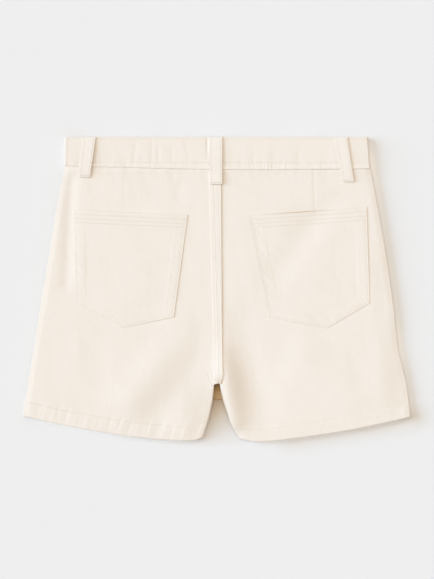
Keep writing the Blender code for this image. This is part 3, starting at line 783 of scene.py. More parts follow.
def fell_surface(step):
    """The felled seam, a raised strip over the join of the two backs."""
    waist = WAIST_SEAM - 2 * GAP
    down = spread(waist - CROTCH, step, near(FELL_WALL / 2))[0]
    y = waist - down
    half = mix(FELL_TOP_WIDTH, FELL_LOW_WIDTH, down / down[-1]) / 2
    half = (half * (1.0 - FELL_PINCH * bump(y - CROTCH, FELL_PINCH_REACH)))[:, None]
    aside = spread(2 * half[:, 0], step / 2, near(THIN_EDGE)) - half
    x = seat_x(y)[:, None] + aside
    y = y[:, None] + 0 * x
    above = y - CROTCH
    rows = sum(bump(aside - place, STRIP_GROOVE_REACH) for place in FELL_ROWS)
    gathers = ripple_height(FELL_GATHERS, above, aside)
    tilt = FELL_TILT * mix(-1.0, 1.0, ease(above / FELL_TWIST)) * aside / half
    z = back_cloth(x, y) + PRESSED + FELL_WALL - FELL_GROOVE * rows
    z = z + gathers * bump(above, GATHER_REACH) + tilt
    # painted shade: pleats and a darker crotch at the fell's lower end, and its left edge
    pleats = 0.5 + 0.5 * np.cos(math.tau * (aside + PLEAT_OFFSET) / PLEAT_PITCH)
    shade = PLEAT_SHADE * pleats * bump(above - PLEAT_PLACE, PLEAT_REACH)
    shade = shade + CROTCH_SHADE * bump(above, CROTCH_SHADE_REACH)
    shade = np.maximum(shade, EDGE_SHADE * bump(aside + half, STRIP_GROOVE_REACH))
    return cloth_of(x, y, z, FELL_WALL, THIN_EDGE, shade, 1.0)


# ------------------------------------------------------------------ waistband
SIDE_STEPS = 18
BAND_SQUASH = 0.4           # the band is pressed flat at its sides
BAND_ROWS = (0.0020, 0.0250)    # its two rows of stitches, below its upper edge
BAND_RIPPLES = ripples(5, -0.1450, 0.1450, 0.0078, 0.00016, 0.12)
BAND_WAVES = ripples(8, -0.1450, 0.1450, 0.0210, 0.00020, -0.30)
BAND_TICKS = (ticks(17, 0.0280, 0.0720, 0.0030, 0.00030)
              + ticks(19, -0.1400, 0.1300, 0.0075, 0.00012))
BACK_HALF_LENGTH = 0.1600   # its points are closer together along its back
BAND_CELL = 0.00012         # but never closer than this
BACK_HALF_X = 0.1200        # half of its level stretch there
BACK_STEPS = 8
RAMP_WALL = 0.75 * BAND_WALL    # its inner end grows thin where it climbs over the outer one
BAND_LEVEL_X = 0.0450       # places along its front where its height is set
BAND_CLIMB_X = CLEARANCE_FOOT + 0.0030
RELIEF_LOW = 0.0060         # it has its relief above this height
SAG_LOW = 0.0020            # and follows the sag of its seam above this one
RELIEF_FADE = 0.0020
BAND_SEWN = 0.0060          # its edge is a sewn one at its seam, and a free one this far above it
BAND_SEWN_FADE = 0.0040     # and it changes over this length
BAND_SIDE_SHADE = 0.5 * WALL_SHADE
BAND_SIDE_X = 0.1420        # its left side gets painted shade from here on
BAND_SIDE_LOW = 0.0015      # between its lower face and its back
BAND_SIDE_HIGH = 0.0070
BAND_SIDE_FADE = 0.0030
SHORT_REACH = 0.0110        # its puckers are highest at its seam and fade within this
LONG_PLACE, LONG_REACH = 0.0150, 0.0140     # its waves are highest this far above it
TICK_PLACE, TICK_FADE = 0.0040, 0.0034      # and the pulls of its stitches this far
LIP_LEFT, LIP_RIGHT = 0.00025, 0.00042  # swell above its seam, left and right of its middle
LIP_CHANGE = 0.0200         # one goes over into the other in this length
LIP_PLACE, LIP_REACH = 0.0013, 0.0012
BAND_CREASES = (
    Fold(-0.0092, 0.1480, -0.0088, 0.1330, 0.0013, -0.00070, -0.00070),
    Fold(-0.0811, 0.1209, -0.0772, 0.1452, 0.0022, -0.00020, -0.00020),
    Fold(-0.0626, 0.1440, -0.0630, 0.1220, 0.0016, -0.00022, -0.00022),
    Fold(-0.0568, 0.1400, -0.0555, 0.1220, 0.0018, -0.00022, -0.00022),
    Fold(-0.0432, 0.1380, -0.0425, 0.1260, 0.0016, -0.00020, -0.00020),
    Fold(-0.0310, 0.1450, -0.0270, 0.1310, 0.0022, -0.00024, -0.00024),
    Fold(0.0355, 0.1330, 0.0350, 0.1210, 0.0026, -0.00022, -0.00022),
    Fold(0.0510, 0.1410, 0.0500, 0.1260, 0.0035, 0.00022, 0.00022),
    Fold(0.0810, 0.1380, 0.0790, 0.1230, 0.0028, -0.00018, -0.00018),
    Fold(0.1130, 0.1400, 0.1150, 0.1220, 0.0030, 0.00022, 0.00022),
)


def band_path():
    """Points around the flattened band, outer face, from its outer end to its inner end.

    A point is (side, reach, height, wall): reach is measured from the centre, or from the
    side's fold where side is -1 or 1.
    """
    def front(x, over=0.0, wall=BAND_WALL):
        return 0, x, front_rise(x, WAIST_TOP) + over, wall

    radius = BAND_HEIGHT / 2
    fronts = [FRONT_LOOP_X + CLEARANCE_FOOT, FRONT_LOOP_X + CLEARANCE_FLAT,
              FRONT_LOOP_X - CLEARANCE_FLAT, FRONT_LOOP_X - CLEARANCE_FOOT,
              BAND_LEVEL_X, BAND_CLIMB_X]
    turn = [math.pi * (step / SIDE_STEPS - 0.5) for step in range(SIDE_STEPS + 1)]
    bends = [(BAND_SQUASH * radius * (1 - math.cos(angle)), radius * (1 + math.sin(angle)),
              BAND_WALL) for angle in turn]
    path = [front(x) for x in (OVERLAP, CLEARANCE_FLAT, 0.0, -CLEARANCE_FLAT)]
    path += [front(-x) for x in reversed(fronts)]
    path += [(-1, *bend) for bend in bends]
    path += [(0, x, BAND_HEIGHT, BAND_WALL)
             for x in np.linspace(-BACK_HALF_X, BACK_HALF_X, BACK_STEPS + 1)]
    path += [(1, *bend) for bend in reversed(bends)]
    path += [front(x) for x in fronts]
    over = BAND_WALL + GAP
    path += [front(BAND_CLIMB_X - OVERLAP_RAMP, over, RAMP_WALL)]
    return path + [front(x, over, UNDERLAP_WALL) for x in (CLEARANCE_FLAT, 0.0, -OVERLAP)]


def band_surface(step):
    """The waistband, bent round both sides, its ends one over the other at the front."""
    y_rows = WAIST_TOP - spread(WAIST_TOP - WAIST_SEAM, step, near(BAND_WALL / 2))[0]
    corners = []
    walls = []
    for side, reach, height, wall in band_path():
        x = 0 * y_rows + reach
        if side:
            x = follow(BAND_LEFT if side < 0 else BAND_RIGHT, y_rows) - side * reach
        corners.append(np.stack([x, y_rows, 0 * x + height], axis=-1))
        walls.append(wall)
    corners = np.stack(corners, axis=1)
    places = run_along(corners[0])
    wanted = spread(places[-1], 2 * step, near(BAND_WALL / 2), near(UNDERLAP_WALL / 2))[0]
    above = places[np.abs(places - places[-1] / 2) < BACK_HALF_LENGTH]
    fine = np.arange(above[0], above[-1], step / 2)
    wanted = np.union1d(np.union1d(wanted, fine), places)
    wanted = wanted[np.insert(np.diff(wanted) > BAND_CELL, 0, True)]
    wanted[-1] = places[-1]
    points = np.stack([read_line(wanted, places, row) for row in corners])
    x, y, z = np.moveaxis(points, -1, 0)
    rise = ease((z - RELIEF_LOW) / RELIEF_FADE)
    drop = seam_sag(x) * ease((z - SAG_LOW) / RELIEF_FADE)
    drop = drop * ease((WAIST_TOP - y) / (WAIST_TOP - WAIST_SEAM))
    # painted shade on the band's left side
    side = ease((np.abs(x) - BAND_SIDE_X) / BAND_SIDE_FADE) * ease(z / BAND_SIDE_LOW)
    side = side * (1.0 - ease((z - BAND_SIDE_HIGH) / BAND_SIDE_FADE))
    seamed = ease((WAIST_SEAM + BAND_SEWN - y) / BAND_SEWN_FADE)
    return cloth_of(x, y - drop, z + band_relief(x, y) * rise, np.interp(wanted, places, walls),
                    mix(BAND_WALL / 2, SEAM_EDGE, seamed), BAND_SIDE_SHADE * side * (x < 0),
                    mix(0.5, SEAM_RIM / 2, seamed), np.stack([y, wanted + 0 * y], axis=-1))


def band_relief(x, y):
    """Puckers, slanting waves, creases and stitched grooves of the waistband's back."""
    above = y - WAIST_SEAM
    short = ripple_height(BAND_RIPPLES, x, above) * bump(above, SHORT_REACH)
    long = ripple_height(BAND_WAVES, x, above) * bump(above - LONG_PLACE, LONG_REACH)
    pulls = ripple_height(BAND_TICKS, x, above) * bump(above - TICK_PLACE, TICK_FADE)
    creases = sum(crease_height(x, y, crease) for crease in BAND_CREASES)
    stitched = sum(bump(WAIST_TOP - y - place, GROOVE_REACH) for place in BAND_ROWS)
    lip = mix(LIP_LEFT, LIP_RIGHT, ease(x / LIP_CHANGE)) * bump(above - LIP_PLACE, LIP_REACH)
    return short + long + pulls + creases + lip + 0.5 * drift(x, y) - HEM_GROOVE * stitched


# ------------------------------------------------------------------ belt loops
LOOP_ROW_INSET = 0.0022
LOOP_STANDOFF = 0.0004
LOOP_TILT = 0.0004          # its wearer's-right edge stands off, its other edge is pressed down
LOOP_DOME = 0.00030         # and the raised edge curls down again by this
LOOP_GROOVE = 0.00006
TACK_DIP = 0.00018
TURNED_LENGTH = 0.0075      # its lower end is turned under over this length
TURNED_SWELL = 0.00015
TURNED_FADE = 0.0014
# painted shade along a loop's left edge
LOOP_SHADE_REACH = 0.0007
FRONT_LOOP_DROP = 0.0130    # the front loops end this far below the waist seam
LOOP_TACK = 0.0018          # the tack lies this far above a loop's lower end
LOOP_SHADE = 2.2 * EDGE_SHADE
LOOP_PUCKERS = (0.0, 0.0500, 0.0060, 0.00012)   # start, end, pitch and height
LOOP_SEEDS = 97             # a loop's seed comes from its width and stays below this
# how a loop arches over the waistband: places up its length, and shares of its rise there
Arch = namedtuple("Arch", "y share")
LOOP_ARCH = (
    Arch(WAIST_SEAM, 0.5),
    Arch(mix(WAIST_SEAM, WAIST_TOP, 0.25), 1.0),
    Arch(mix(WAIST_SEAM, WAIST_TOP, 0.60), 0.7),
    Arch(WAIST_TOP - 0.0060, 0.3),
    Arch(WAIST_TOP - 0.0020, 0.0),
    Arch(WAIST_TOP - GAP, 0.0),
)


def back_loop_surface(loop, step):
    """A belt loop arched over the waistband, its lower end on the back below the seam."""
    on_fell = FELL_WALL + GAP if loop.name == "loop_back_centre" else 0.0
    low = float(back_lie(loop.x_low, loop.y_low)) + on_fell + PRESSED
    high = BAND_HEIGHT + PRESSED
    profile = [(loop.y_low, low + LOOP_STANDOFF)]
    profile += [(place.y, high + place.share * loop.rise) for place in LOOP_ARCH]
    down = spread(WAIST_TOP - GAP - loop.y_low, step, near(LOOP_WALL / 2))[0]
    y = WAIST_TOP - GAP - down
    share = (WAIST_TOP - y) / (WAIST_TOP - loop.y_low)
    width = mix(loop.width_top, loop.width_low, share)
    seed = round(width[0] * 1e6) % LOOP_SEEDS
    aside = spread(width, step / 2, near(THIN_EDGE)) - width[:, None] / 2
    x = mix(loop.x_top, loop.x_low, share)[:, None] + aside
    y = y[:, None] + 0 * x
    half = width[:, None] / 2
    end = y - loop.y_low
    dome = LOOP_DOME * np.clip(aside / half, 0.0, 1.0) ** 4
    stitched = LOOP_GROOVE * bump(np.abs(aside) - (half - LOOP_ROW_INSET), STRIP_GROOVE_REACH)
    tack = TACK_DIP * bump(end - LOOP_TACK, GROOVE_REACH)
    turned_under = TURNED_SWELL * (1.0 - ease((end - TURNED_LENGTH) / TURNED_FADE))
    soft = ripple_height(ripples(seed, *LOOP_PUCKERS), end, aside)
    z = follow(profile, y) + LOOP_WALL + LOOP_TILT * aside / half
    z = z - dome - stitched - tack + turned_under + soft
    # painted shade along the loop's left edge
    shade = LOOP_SHADE * bump(aside + half, LOOP_SHADE_REACH)
    return cloth_of(x, y, z, LOOP_WALL, THIN_EDGE, shade)


def front_loop_surface(side, step):
    """A belt loop pressed flat between the waistband's front and the surface."""
    length = WAIST_TOP - GAP - (WAIST_SEAM - FRONT_LOOP_DROP)
    down = spread(length, step, near(LOOP_WALL / 2))[0]
    from_left = spread(LOOP_WIDTH, step, near(LOOP_WALL / 2))
    x = side * FRONT_LOOP_X - LOOP_WIDTH / 2 + from_left
    return cloth_of(x, WAIST_TOP - GAP - down[:, None], LOOP_WALL, LOOP_WALL)


# ------------------------------------------------------------------ back pockets
POCKET_ALLOWANCE = 0.0110   # cloth turned under along the sides and the point
MOUTH_HEM = 0.0145          # cloth turned under at the mouth
POCKET_SWELL = 0.00009      # the turned cloth shows through by this
POCKET_RIDGE = 0.00003      # and a little more at its end
RIDGE_INSET = 0.0012
RIDGE_REACH = 0.0014
POCKET_STEP = 0.0022        # length of the swell's slope
STEP_INSET = 0.0010         # which starts this far before the turned cloth's end
SINK_REACH = 0.0200         # an edge sinks into the back over this
POCKET_EDGE_ROW = 0.0022    # the stitches' distance from the edges
MOUTH_ROWS = (0.0046, 0.0088, 0.0125)
MOUTH_GROOVE = 0.00016
SUNK_GROOVE = 0.6           # a sunk edge's groove is this share less deep
PUCKERS = {name: ripples(seed, -0.1400, 0.1700, 0.0050, 0.00014)
           for name, seed in (("pocket_left", 41), ("pocket_right", 43))}
PUCKER_PLACE = 0.0045       # they lie beside the edges' stitches, this far from the edge
DIAGONAL = 0.7              # they are counted off along this share of x + y
# painted shade along the pockets' rows and edges and in their mouths
POCKET_SHADE_REACH = 0.0006
EDGE_ROW_SHADE = 0.03
EDGE_ROW_OFFSET = 0.0007    # this painted shade lies this far outside the row
MOUTH_ROW_SHADE = 0.08
LEFT_EDGE_SHADE = 0.14            # least painted shade on the left side's edge
GAPE_REACH = 0.0007
GAPE_PLACE, GAPE_SPREAD = 0.42, 0.26    # where the painted shade of the gaping mouth lies, in shares of its width


def inside_of(x, y, start, end):
    """Distance of a point to the left of the line from start to end."""
    run_x, run_y = end[0] - start[0], end[1] - start[1]
    length = math.hypot(run_x, run_y)
    return ((y - start[1]) * run_x - (x - start[0]) * run_y) / length


def pocket_edges(pocket, x, y):
    """Distances to the pocket's four sewn edges and to its mouth."""
    sewn = (
        inside_of(x, y, pocket.mouth_left, pocket.low_left),
        inside_of(x, y, pocket.low_left, pocket.tip),
        inside_of(x, y, pocket.tip, pocket.low_right),
        inside_of(x, y, pocket.low_right, pocket.mouth_right),
    )
    return sewn, inside_of(x, y, pocket.mouth_right, pocket.mouth_left)


def pocket_lift(pocket, x, y):
    """How far a pocket's upper face stands off the back, more along its firmer edges."""
    sewn, to_mouth = pocket_edges(pocket, x, y)
    to_edge = np.minimum.reduce(sewn)
    sunk = sum(share * bump(place, SINK_REACH) for share, place in zip(pocket.sunk, sewn))
    hemmed = [1.0 - ease((inside + STEP_INSET) / POCKET_STEP)
              for inside in (to_edge - POCKET_ALLOWANCE, to_mouth - MOUTH_HEM)]
    ridge = POCKET_RIDGE * bump(to_edge - POCKET_ALLOWANCE + RIDGE_INSET, RIDGE_REACH)
    groove = HEM_GROOVE * bump(to_edge - POCKET_EDGE_ROW, GROOVE_REACH) * (1.0 - SUNK_GROOVE * sunk)
    groove = groove + sum(MOUTH_GROOVE * bump(to_mouth - row, GROOVE_REACH) for row in MOUTH_ROWS)
    puckers = ripple_height(PUCKERS[pocket.name], (x + y) * DIAGONAL, 0.0)
    puckers = puckers * bump(to_edge - PUCKER_PLACE, PUCKER_PLACE)
    lift = mix(POCKET_WALL, POCKET_SUNK, sunk) + POCKET_SWELL * np.maximum(*hemmed)
    return lift + ridge - groove + puckers


def pocket_height(pocket, x, y):
    """Upper face of a pocket, made from the back's own face and moved out."""
    return back_cloth(x, y) + PRESSED + pocket_lift(pocket, x, y)


def pocket_surface(pocket, step):
    """A patch pocket, from its mouth down to its two lower edges."""
    width = pocket.mouth_right[0] - pocket.mouth_left[0]
    depth = (pocket.mouth_left[1] + pocket.mouth_right[1] - pocket.low_left[1]
             - pocket.tip[1]) / 2
    across = spread(width, step, near(THIN_EDGE)) / width
    down = spread(depth, step, near(THIN_EDGE)).T / depth
    low_corners = np.array([pocket.low_left, pocket.tip, pocket.low_right])
    shares = np.interp(low_corners[:, 0], low_corners[[0, 2], 0], (0.0, 1.0))
    x, y = (mix(mix(pocket.mouth_left[axis], pocket.mouth_right[axis], across),
                np.interp(across, shares, low_corners[:, axis]), down) for axis in (0, 1))
    sewn, to_mouth = pocket_edges(pocket, x, y)
    rows = bump(np.minimum.reduce(sewn) - POCKET_EDGE_ROW + EDGE_ROW_OFFSET, POCKET_SHADE_REACH)
    mouth_rows = sum(bump(to_mouth - row, POCKET_SHADE_REACH) for row in MOUTH_ROWS)
    gape = bump(to_mouth, GAPE_REACH) * bump(across - GAPE_PLACE, GAPE_SPREAD)
    # painted shade along the rows near its right side, across the mouth, in the gaping mouth and on
    # its left edge
    shade = np.maximum.reduce([
        EDGE_ROW_SHADE * rows * (sewn[3] < sewn[0]),
        MOUTH_ROW_SHADE * mouth_rows,
        pocket.gape * gape,
        max(0.5 * pocket.gape, LEFT_EDGE_SHADE) * bump(sewn[0], POCKET_SHADE_REACH),
    ])
    return cloth_of(x, y, pocket_height(pocket, x, y), pocket_lift(pocket, x, y), THIN_EDGE,
                    shade, 1.0)


# ------------------------------------------------------------------ stitches
STITCH_SIDES = 6
STITCH_RINGS = 4
STITCH_HEIGHT = 0.8         # height of a stitch, as a share of its width
ROW_POINTS = 240            # points along a straight row
ROW_BELOW_MOUTH = 0.0016    # a pocket's edge rows start this far below its mouth
TACK_PITCH = 0.0006
TACK_HEIGHT = 0.0014
UP = np.array([0.0, 0.0, 1.0])


def discard(piece):
    """Remove a helper object and its mesh."""
    mesh = piece.data
    bpy.data.objects.remove(piece)
    bpy.data.meshes.remove(mesh)


def stitch_pattern():
    """One stitch as a small rounded lozenge of length, width and height 1, modelled once."""
    bpy.ops.object.select_all(action="DESELECT")
    bpy.ops.mesh.primitive_uv_sphere_add(segments=STITCH_SIDES, ring_count=STITCH_RINGS,
                                         radius=0.5, rotation=(0.0, math.pi / 2, 0.0))
    pattern = bpy.context.object
    bpy.ops.object.transform_apply(rotation=True)
    vertices = np.array([vertex.co for vertex in pattern.data.vertices])
    faces = [list(polygon.vertices) for polygon in pattern.data.polygons]
    discard(pattern)
    vertices[:, 0] = np.sign(vertices[:, 0]) * 0.5 * np.sqrt(np.abs(2 * vertices[:, 0]))
    return vertices, faces


Row = namedtuple("Row", "points normals")
ROW_START = 0.0012          # a row of stitches starts this far inside the cloth


def from_side(grid, side):
    """The same grid with one of its sides as the first row."""
    if side in ("left", "right"):
        grid = grid.swapaxes(0, 1)
    return grid[::-1] if side in ("bottom", "right") else grid


def row_on(surface, side, inset, below=False):
    """The line at a distance from one side of a sheet, on its upper or lower face."""
    grids = (surface.points, normals_of(surface.points), surface.wall[..., None])
    points, normals, wall = (from_side(grid, side) for grid in grids)
    run = run_along(points)
    index = np.clip((run < inset).sum(axis=0) - 1, 0, len(run) - 2)
    column = np.arange(points.shape[1])
    here, past = run[index, column], run[index + 1, column]
    share = ((inset - here) / (past - here))[:, None]
    points, normals, wall = (mix(grid[index, column], grid[index + 1, column], share)
                             for grid in (points, normals, wall))
    if below:
        points, normals = points - normals * wall, -normals
    place = run_along(points)
    kept = (place > ROW_START) & (place < place[-1] - ROW_START)
    return Row(points[kept], normals[kept])


def walk(row, sizes):
    """Cut a line of points into the starts, ends and normals of stitches."""
    place = run_along(row.points)
    length = sizes.stitch_length
    starts = np.arange(0.0, place[-1] - length, length + sizes.stitch_pause)
    return (read_line(starts, place, row.points), read_line(starts + length, place, row.points),
            read_line(starts + length / 2, place, row.normals))


def sew(name, stitches, sizes, material):
    """Copy the stitch along sets of (starts, ends, normals) into one mesh."""
    pattern, pattern_faces = stitch_pattern()
    starts, ends, normals = (np.concatenate(found) for found in zip(*stitches))
    along = ends - starts
    side = np.cross(normals, along)
    side = side / np.linalg.norm(side, axis=1, keepdims=True) * sizes.thread_width
    up = np.cross(along, side)
    up = up / np.linalg.norm(up, axis=1, keepdims=True)
    middle = (starts + ends) / 2 + up * sizes.thread_rise
    up = up * sizes.thread_width * STITCH_HEIGHT
    points = middle[:, None] + sum(pattern[None, :, axis, None] * reach[:, None]
                                   for axis, reach in enumerate((along, side, up)))
    faces = []
    for first in range(0, len(starts) * len(pattern), len(pattern)):
        faces += [[first + corner for corner in face] for face in pattern_faces]
    piece = new_object(name, points.reshape(-1, 3), faces, material)
    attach(piece, "root")
    return piece


def lay_row(start, end, height, sizes):
    """A straight row of stitches, on the face that height gives."""
    share = np.linspace(0.0, 1.0, ROW_POINTS)
    x, y = (mix(first, last, share) for first, last in zip(start, end))
    points = np.stack([x, y, height(x, y)], axis=-1)
    return walk(Row(points, UP + 0 * points), sizes)


def bar_tack(row, height):
    """Close stitches side by side across a row, which fasten an end."""
    place = run_along(row.points)
    middle = read_line(np.arange(0.0, place[-1], TACK_PITCH), place, row.points)
    run = row.points[-1] - row.points[0]
    normals = row.normals[0] + 0 * middle
    across = np.cross(normals, run / np.linalg.norm(run)) * height / 2
    return middle - across, middle + across, normals


def slide(start, end, distance, aside):
    """A point some way from start towards end, and aside from that line."""
    share = distance / math.dist(start, end)
    return mix(start[0], end[0], share) + aside, mix(start[1], end[1], share)


def inset_corner(corners, index, inset):
    """The corner of a line that runs inside two edges at a distance from both."""
    before, here, after = (Vector(corners[place]) for place in (index - 1, index, index + 1))
    first, second = (here - before).normalized(), (after - here).normalized()
    normal_first = Vector((-first.y, first.x))
    normal_second = Vector((-second.y, second.x))
    bisector = (normal_first + normal_second).normalized()
    return tuple(here + bisector * (inset / bisector.dot(normal_first)))


def pocket_rows(pocket, sizes):
    """Rows along a pocket's sewn edges, and those across its mouth."""
    def height(x, y):
        return pocket_height(pocket, x, y)

    def inside_mouth(below):
        return (slide(pocket.mouth_left, pocket.low_left, below, POCKET_EDGE_ROW),
                slide(pocket.mouth_right, pocket.low_right, below, -POCKET_EDGE_ROW))

    corners = [pocket.mouth_left, pocket.low_left, pocket.tip, pocket.low_right,
               pocket.mouth_right]
    left, right = inside_mouth(ROW_BELOW_MOUTH)
    inset = [inset_corner(corners, index, POCKET_EDGE_ROW) for index in (1, 2, 3)]
    lines = list(zip([left] + inset, inset + [right]))
    lines += [inside_mouth(below) for below in MOUTH_ROWS]
    return [lay_row(start, end, height, sizes) for start, end in lines]


def hem_rows(sizes):
    """The rows along the hems of the legs, back and front, and of the skirt panel."""
    hems = [(back_surface(leg, sizes.cell), HEM_DEPTH, False) for leg in LEGS]
    hems += [(front_surface(leg, sizes.coarse_cell), HEM_DEPTH, True) for leg in LEGS]
    hems += [(skirt_surface(sizes.coarse_cell), SKIRT_HEM_DEPTH, True)]
    return [row_on(cloth, "bottom", depth - HEM_ROW, below) for cloth, depth, below in hems]


def fell_rows(sizes):
    cloth = fell_surface(sizes.cell)
    return [row_on(cloth, "left", FELL_TOP_WIDTH / 2 + place) for place in FELL_ROWS]


def loops_of(sizes):
    """Each belt loop's surface, and whether its lower face is the one that shows."""
    loops = [(back_loop_surface(loop, sizes.cell), False) for loop in BACK_LOOPS]
    return loops + [(front_loop_surface(side, sizes.coarse_cell), True) for side in (-1, 1)]


def loop_rows(sizes):
    """Two rows along each belt loop, on the face that shows."""
    return [row_on(cloth, side, LOOP_ROW_INSET, below)
            for cloth, below in loops_of(sizes) for side in ("left", "right")]


def loop_tacks(sizes):
    """The tack across each belt loop's lower end."""
    return [bar_tack(row_on(cloth, "bottom", LOOP_TACK, below), TACK_HEIGHT)
            for cloth, below in loops_of(sizes)]


# ------------------------------------------------------------------ button
BUTTON_RIM = 0.0018
BUTTON_HOLLOW = 0.0004
BUTTON_ROUND = 0.0003
HOLE_RADIUS = 0.00075
HOLE_PLACE = 0.0013         # its holes lie this far from both of its axes
BUTTON_SEGMENTS = 64
HOLE_SEGMENTS = 20
THREAD_ASIDE = 0.00025      # two threads of a pair lie this far from their middle
DOWNWARD = -0.9             # a face whose normal's z is below this is the button's face
SMOOTH_ANGLE = math.radians(35)


def drill(button, place, depth):
    """Cut a round hole through the button."""
    bpy.ops.object.select_all(action="DESELECT")
    bpy.ops.mesh.primitive_cylinder_add(vertices=HOLE_SEGMENTS, radius=HOLE_RADIUS,
                                        depth=2 * depth, location=place)
    drill_bit = bpy.context.object
    hole = button.modifiers.new("hole", "BOOLEAN")
    hole.operation = "DIFFERENCE"
    hole.solver = "EXACT"
    hole.object = drill_bit
    bpy.ops.object.select_all(action="DESELECT")
    bpy.context.view_layer.objects.active = button
    button.select_set(True)
    bpy.ops.object.modifier_apply(modifier="hole")
    discard(drill_bit)


def turn_button(material):
    """A turned disc, face down, with a raised rim and four holes."""
    low, high = BUTTON_LOW, BUTTON_HIGH
    centre = (low + high) / 2
    bpy.ops.object.select_all(action="DESELECT")
    bpy.ops.mesh.primitive_cylinder_add(vertices=BUTTON_SEGMENTS, radius=(high.x - low.x) / 2,
                                        depth=high.z - low.z, location=centre)
    button = bpy.context.object
    button.name = "button"
    bpy.ops.object.transform_apply(location=True)
    for face in button.data.polygons:
        face.select = face.normal.z < DOWNWARD
    bpy.ops.object.mode_set(mode="EDIT")
    bpy.ops.mesh.select_mode(type="FACE")
    bpy.ops.mesh.inset(thickness=BUTTON_RIM, depth=0.0)
    bpy.ops.mesh.inset(thickness=BUTTON_HOLLOW, depth=-BUTTON_HOLLOW)
    bpy.ops.object.mode_set(mode="OBJECT")
    rounded = button.modifiers.new("rounded", "BEVEL")
    rounded.width = BUTTON_ROUND
    rounded.segments = 3
    rounded.limit_method = "ANGLE"
    bpy.ops.object.modifier_apply(modifier="rounded")
    for across in (-HOLE_PLACE, HOLE_PLACE):
        for along in (-HOLE_PLACE, HOLE_PLACE):
            drill(button, (centre.x + across, centre.y + along, centre.z), high.z - low.z)
    bpy.ops.object.shade_smooth_by_angle(angle=SMOOTH_ANGLE)
    button.data.materials.clear()
    button.data.materials.append(material)
    return button


def button_threads():
    """Two pairs of threads across the button's holes."""
    centre = (BUTTON_LOW + BUTTON_HIGH) / 2
    starts, ends = [], []
    for across in (-HOLE_PLACE, HOLE_PLACE):
        for aside in (-THREAD_ASIDE, THREAD_ASIDE):
            x, z = centre.x + across + aside, BUTTON_LOW.z + BUTTON_HOLLOW
            starts.append((x, centre.y - HOLE_PLACE - aside, z))
            ends.append((x, centre.y + HOLE_PLACE - aside, z))
    starts, ends = np.array(starts), np.array(ends)
    return [(starts, ends, -UP + 0 * starts)]


# ------------------------------------------------------------------ shader nodes
MIX_FACTOR, MIX_A, MIX_B, MIX_COLOUR = 0, 6, 7, 2
ATTRIBUTE_FACTOR = 2
OBJECT_PLACE = 3


def arithmetic(operation, swapped=False):
    """A method that adds one Math node, its own wire being the first value or the last."""
    def method(self, *others):
        values = (*others, self) if swapped else (self, *others)
        return self.node("ShaderNodeMath", {"operation": operation}, enumerate(values))
    return method


class Wire:
    """One output of a node tree, with arithmetic that adds Math nodes."""

    def __init__(self, tree, socket=None):
        self.tree = tree
        self.socket = socket

    __add__ = __radd__ = arithmetic("ADD")
    __sub__ = arithmetic("SUBTRACT")
    __rsub__ = arithmetic("SUBTRACT", swapped=True)
    __mul__ = __rmul__ = arithmetic("MULTIPLY")
    over = arithmetic("DIVIDE")
    size = arithmetic("ABSOLUTE")
    sine = arithmetic("SINE")
    at_most = arithmetic("MINIMUM")
    at_least = arithmetic("MAXIMUM")

    def feed(self, made, inputs):
        """Give a node's sockets their values or links."""
        for name, value in dict(inputs).items():
            if isinstance(value, Wire):
                self.tree.links.new(value.socket, made.inputs[name])
            else:
                made.inputs[name].default_value = value

    def node(self, kind, settings=(), inputs=(), output=0):
        """Add a node: its settings first, then the values or links of its sockets."""
        made = self.tree.nodes.new(kind)
        for name, value in dict(settings).items():
            setattr(made, name, value)
        self.feed(made, inputs)
        return Wire(self.tree, made.outputs[output])

    def part(self, index):
        """One of a vector's three numbers."""
        return self.node("ShaderNodeSeparateXYZ", (), {0: self}, index)

    def limited(self):
        """This between 0 and 1."""
        return self.at_most(1.0).at_least(0.0)

    def stretched(self, *shares):
        return self.node("ShaderNodeVectorMath", {"operation": "MULTIPLY"}, {0: self, 1: shares})

    def noise(self, scale, detail, distortion=0.0):
        """Noise at the place that this gives."""
        return self.node("ShaderNodeTexNoise", (), {"Vector": self, "Scale": scale,
                                                    "Detail": detail, "Distortion": distortion})

    def colours(self, first, second):
        """Blend from the first colour to the second as this goes from 0 to 1."""
        inputs = {MIX_FACTOR: self, MIX_A: first, MIX_B: second}
        return self.node("ShaderNodeMix", {"data_type": "RGBA"}, inputs, MIX_COLOUR)


def new_material(name):
    """A material, its one shader, and a wire to build its nodes from."""
    material = bpy.data.materials.new(name)
    material.use_nodes = True
    tree = material.node_tree
    return material, tree.nodes["Principled BSDF"], Wire(tree)


def tinted(colour, shares):
    """A colour with each of its channels made stronger or weaker by a share."""
    return tuple(channel * share for channel, share in zip(colour, shares)) + (1.0,)


def tone(colour, share):
    """A colour made lighter or darker by a share."""
    return tinted(colour, (share, share, share))


# painted shade: the warm brown that the cloth is darkened towards where shade falls
PAINTED_SHADE_COLOUR = (0.49, 0.32, 0.15, 1.0)
RIBS, FLOATS, SLUBS = 0.5, 0.2, 0.8     # shares of the twill's relief
FLOAT_WARP, FLOAT_WEFT = 0.62, 0.35     # the floats' turns along both threads, in the ribs' turn
MOTTLE_SCALE = 55.0
SLUB_SCALES = (1900.0, 240.0, 1.0)      # slubs are long along the warp
RELIEF_STRENGTH = 0.55
TONE_SLUBS, TONE_MOTTLE, TONE_RIBS, TONE_LEVEL = 0.7, 0.6, 0.06, 0.25
TWILL_LIGHT, TWILL_DARK = 1.010, 0.965
TWILL_ROUGHNESS = (0.82, 0.92)
FIBRE_SCALE = 2400.0
THREAD_LIGHT, THREAD_DARK = 1.02, 0.94
THREAD_ROUGHNESS = (0.50, 0.70)
STREAK_SCALES = (160.0, 900.0, 160.0)
STREAK_BEND = 0.8
HORN_LIGHT, HORN_DARK = 1.15, 0.7
HORN_ROUGHNESS = (0.22, 0.37)


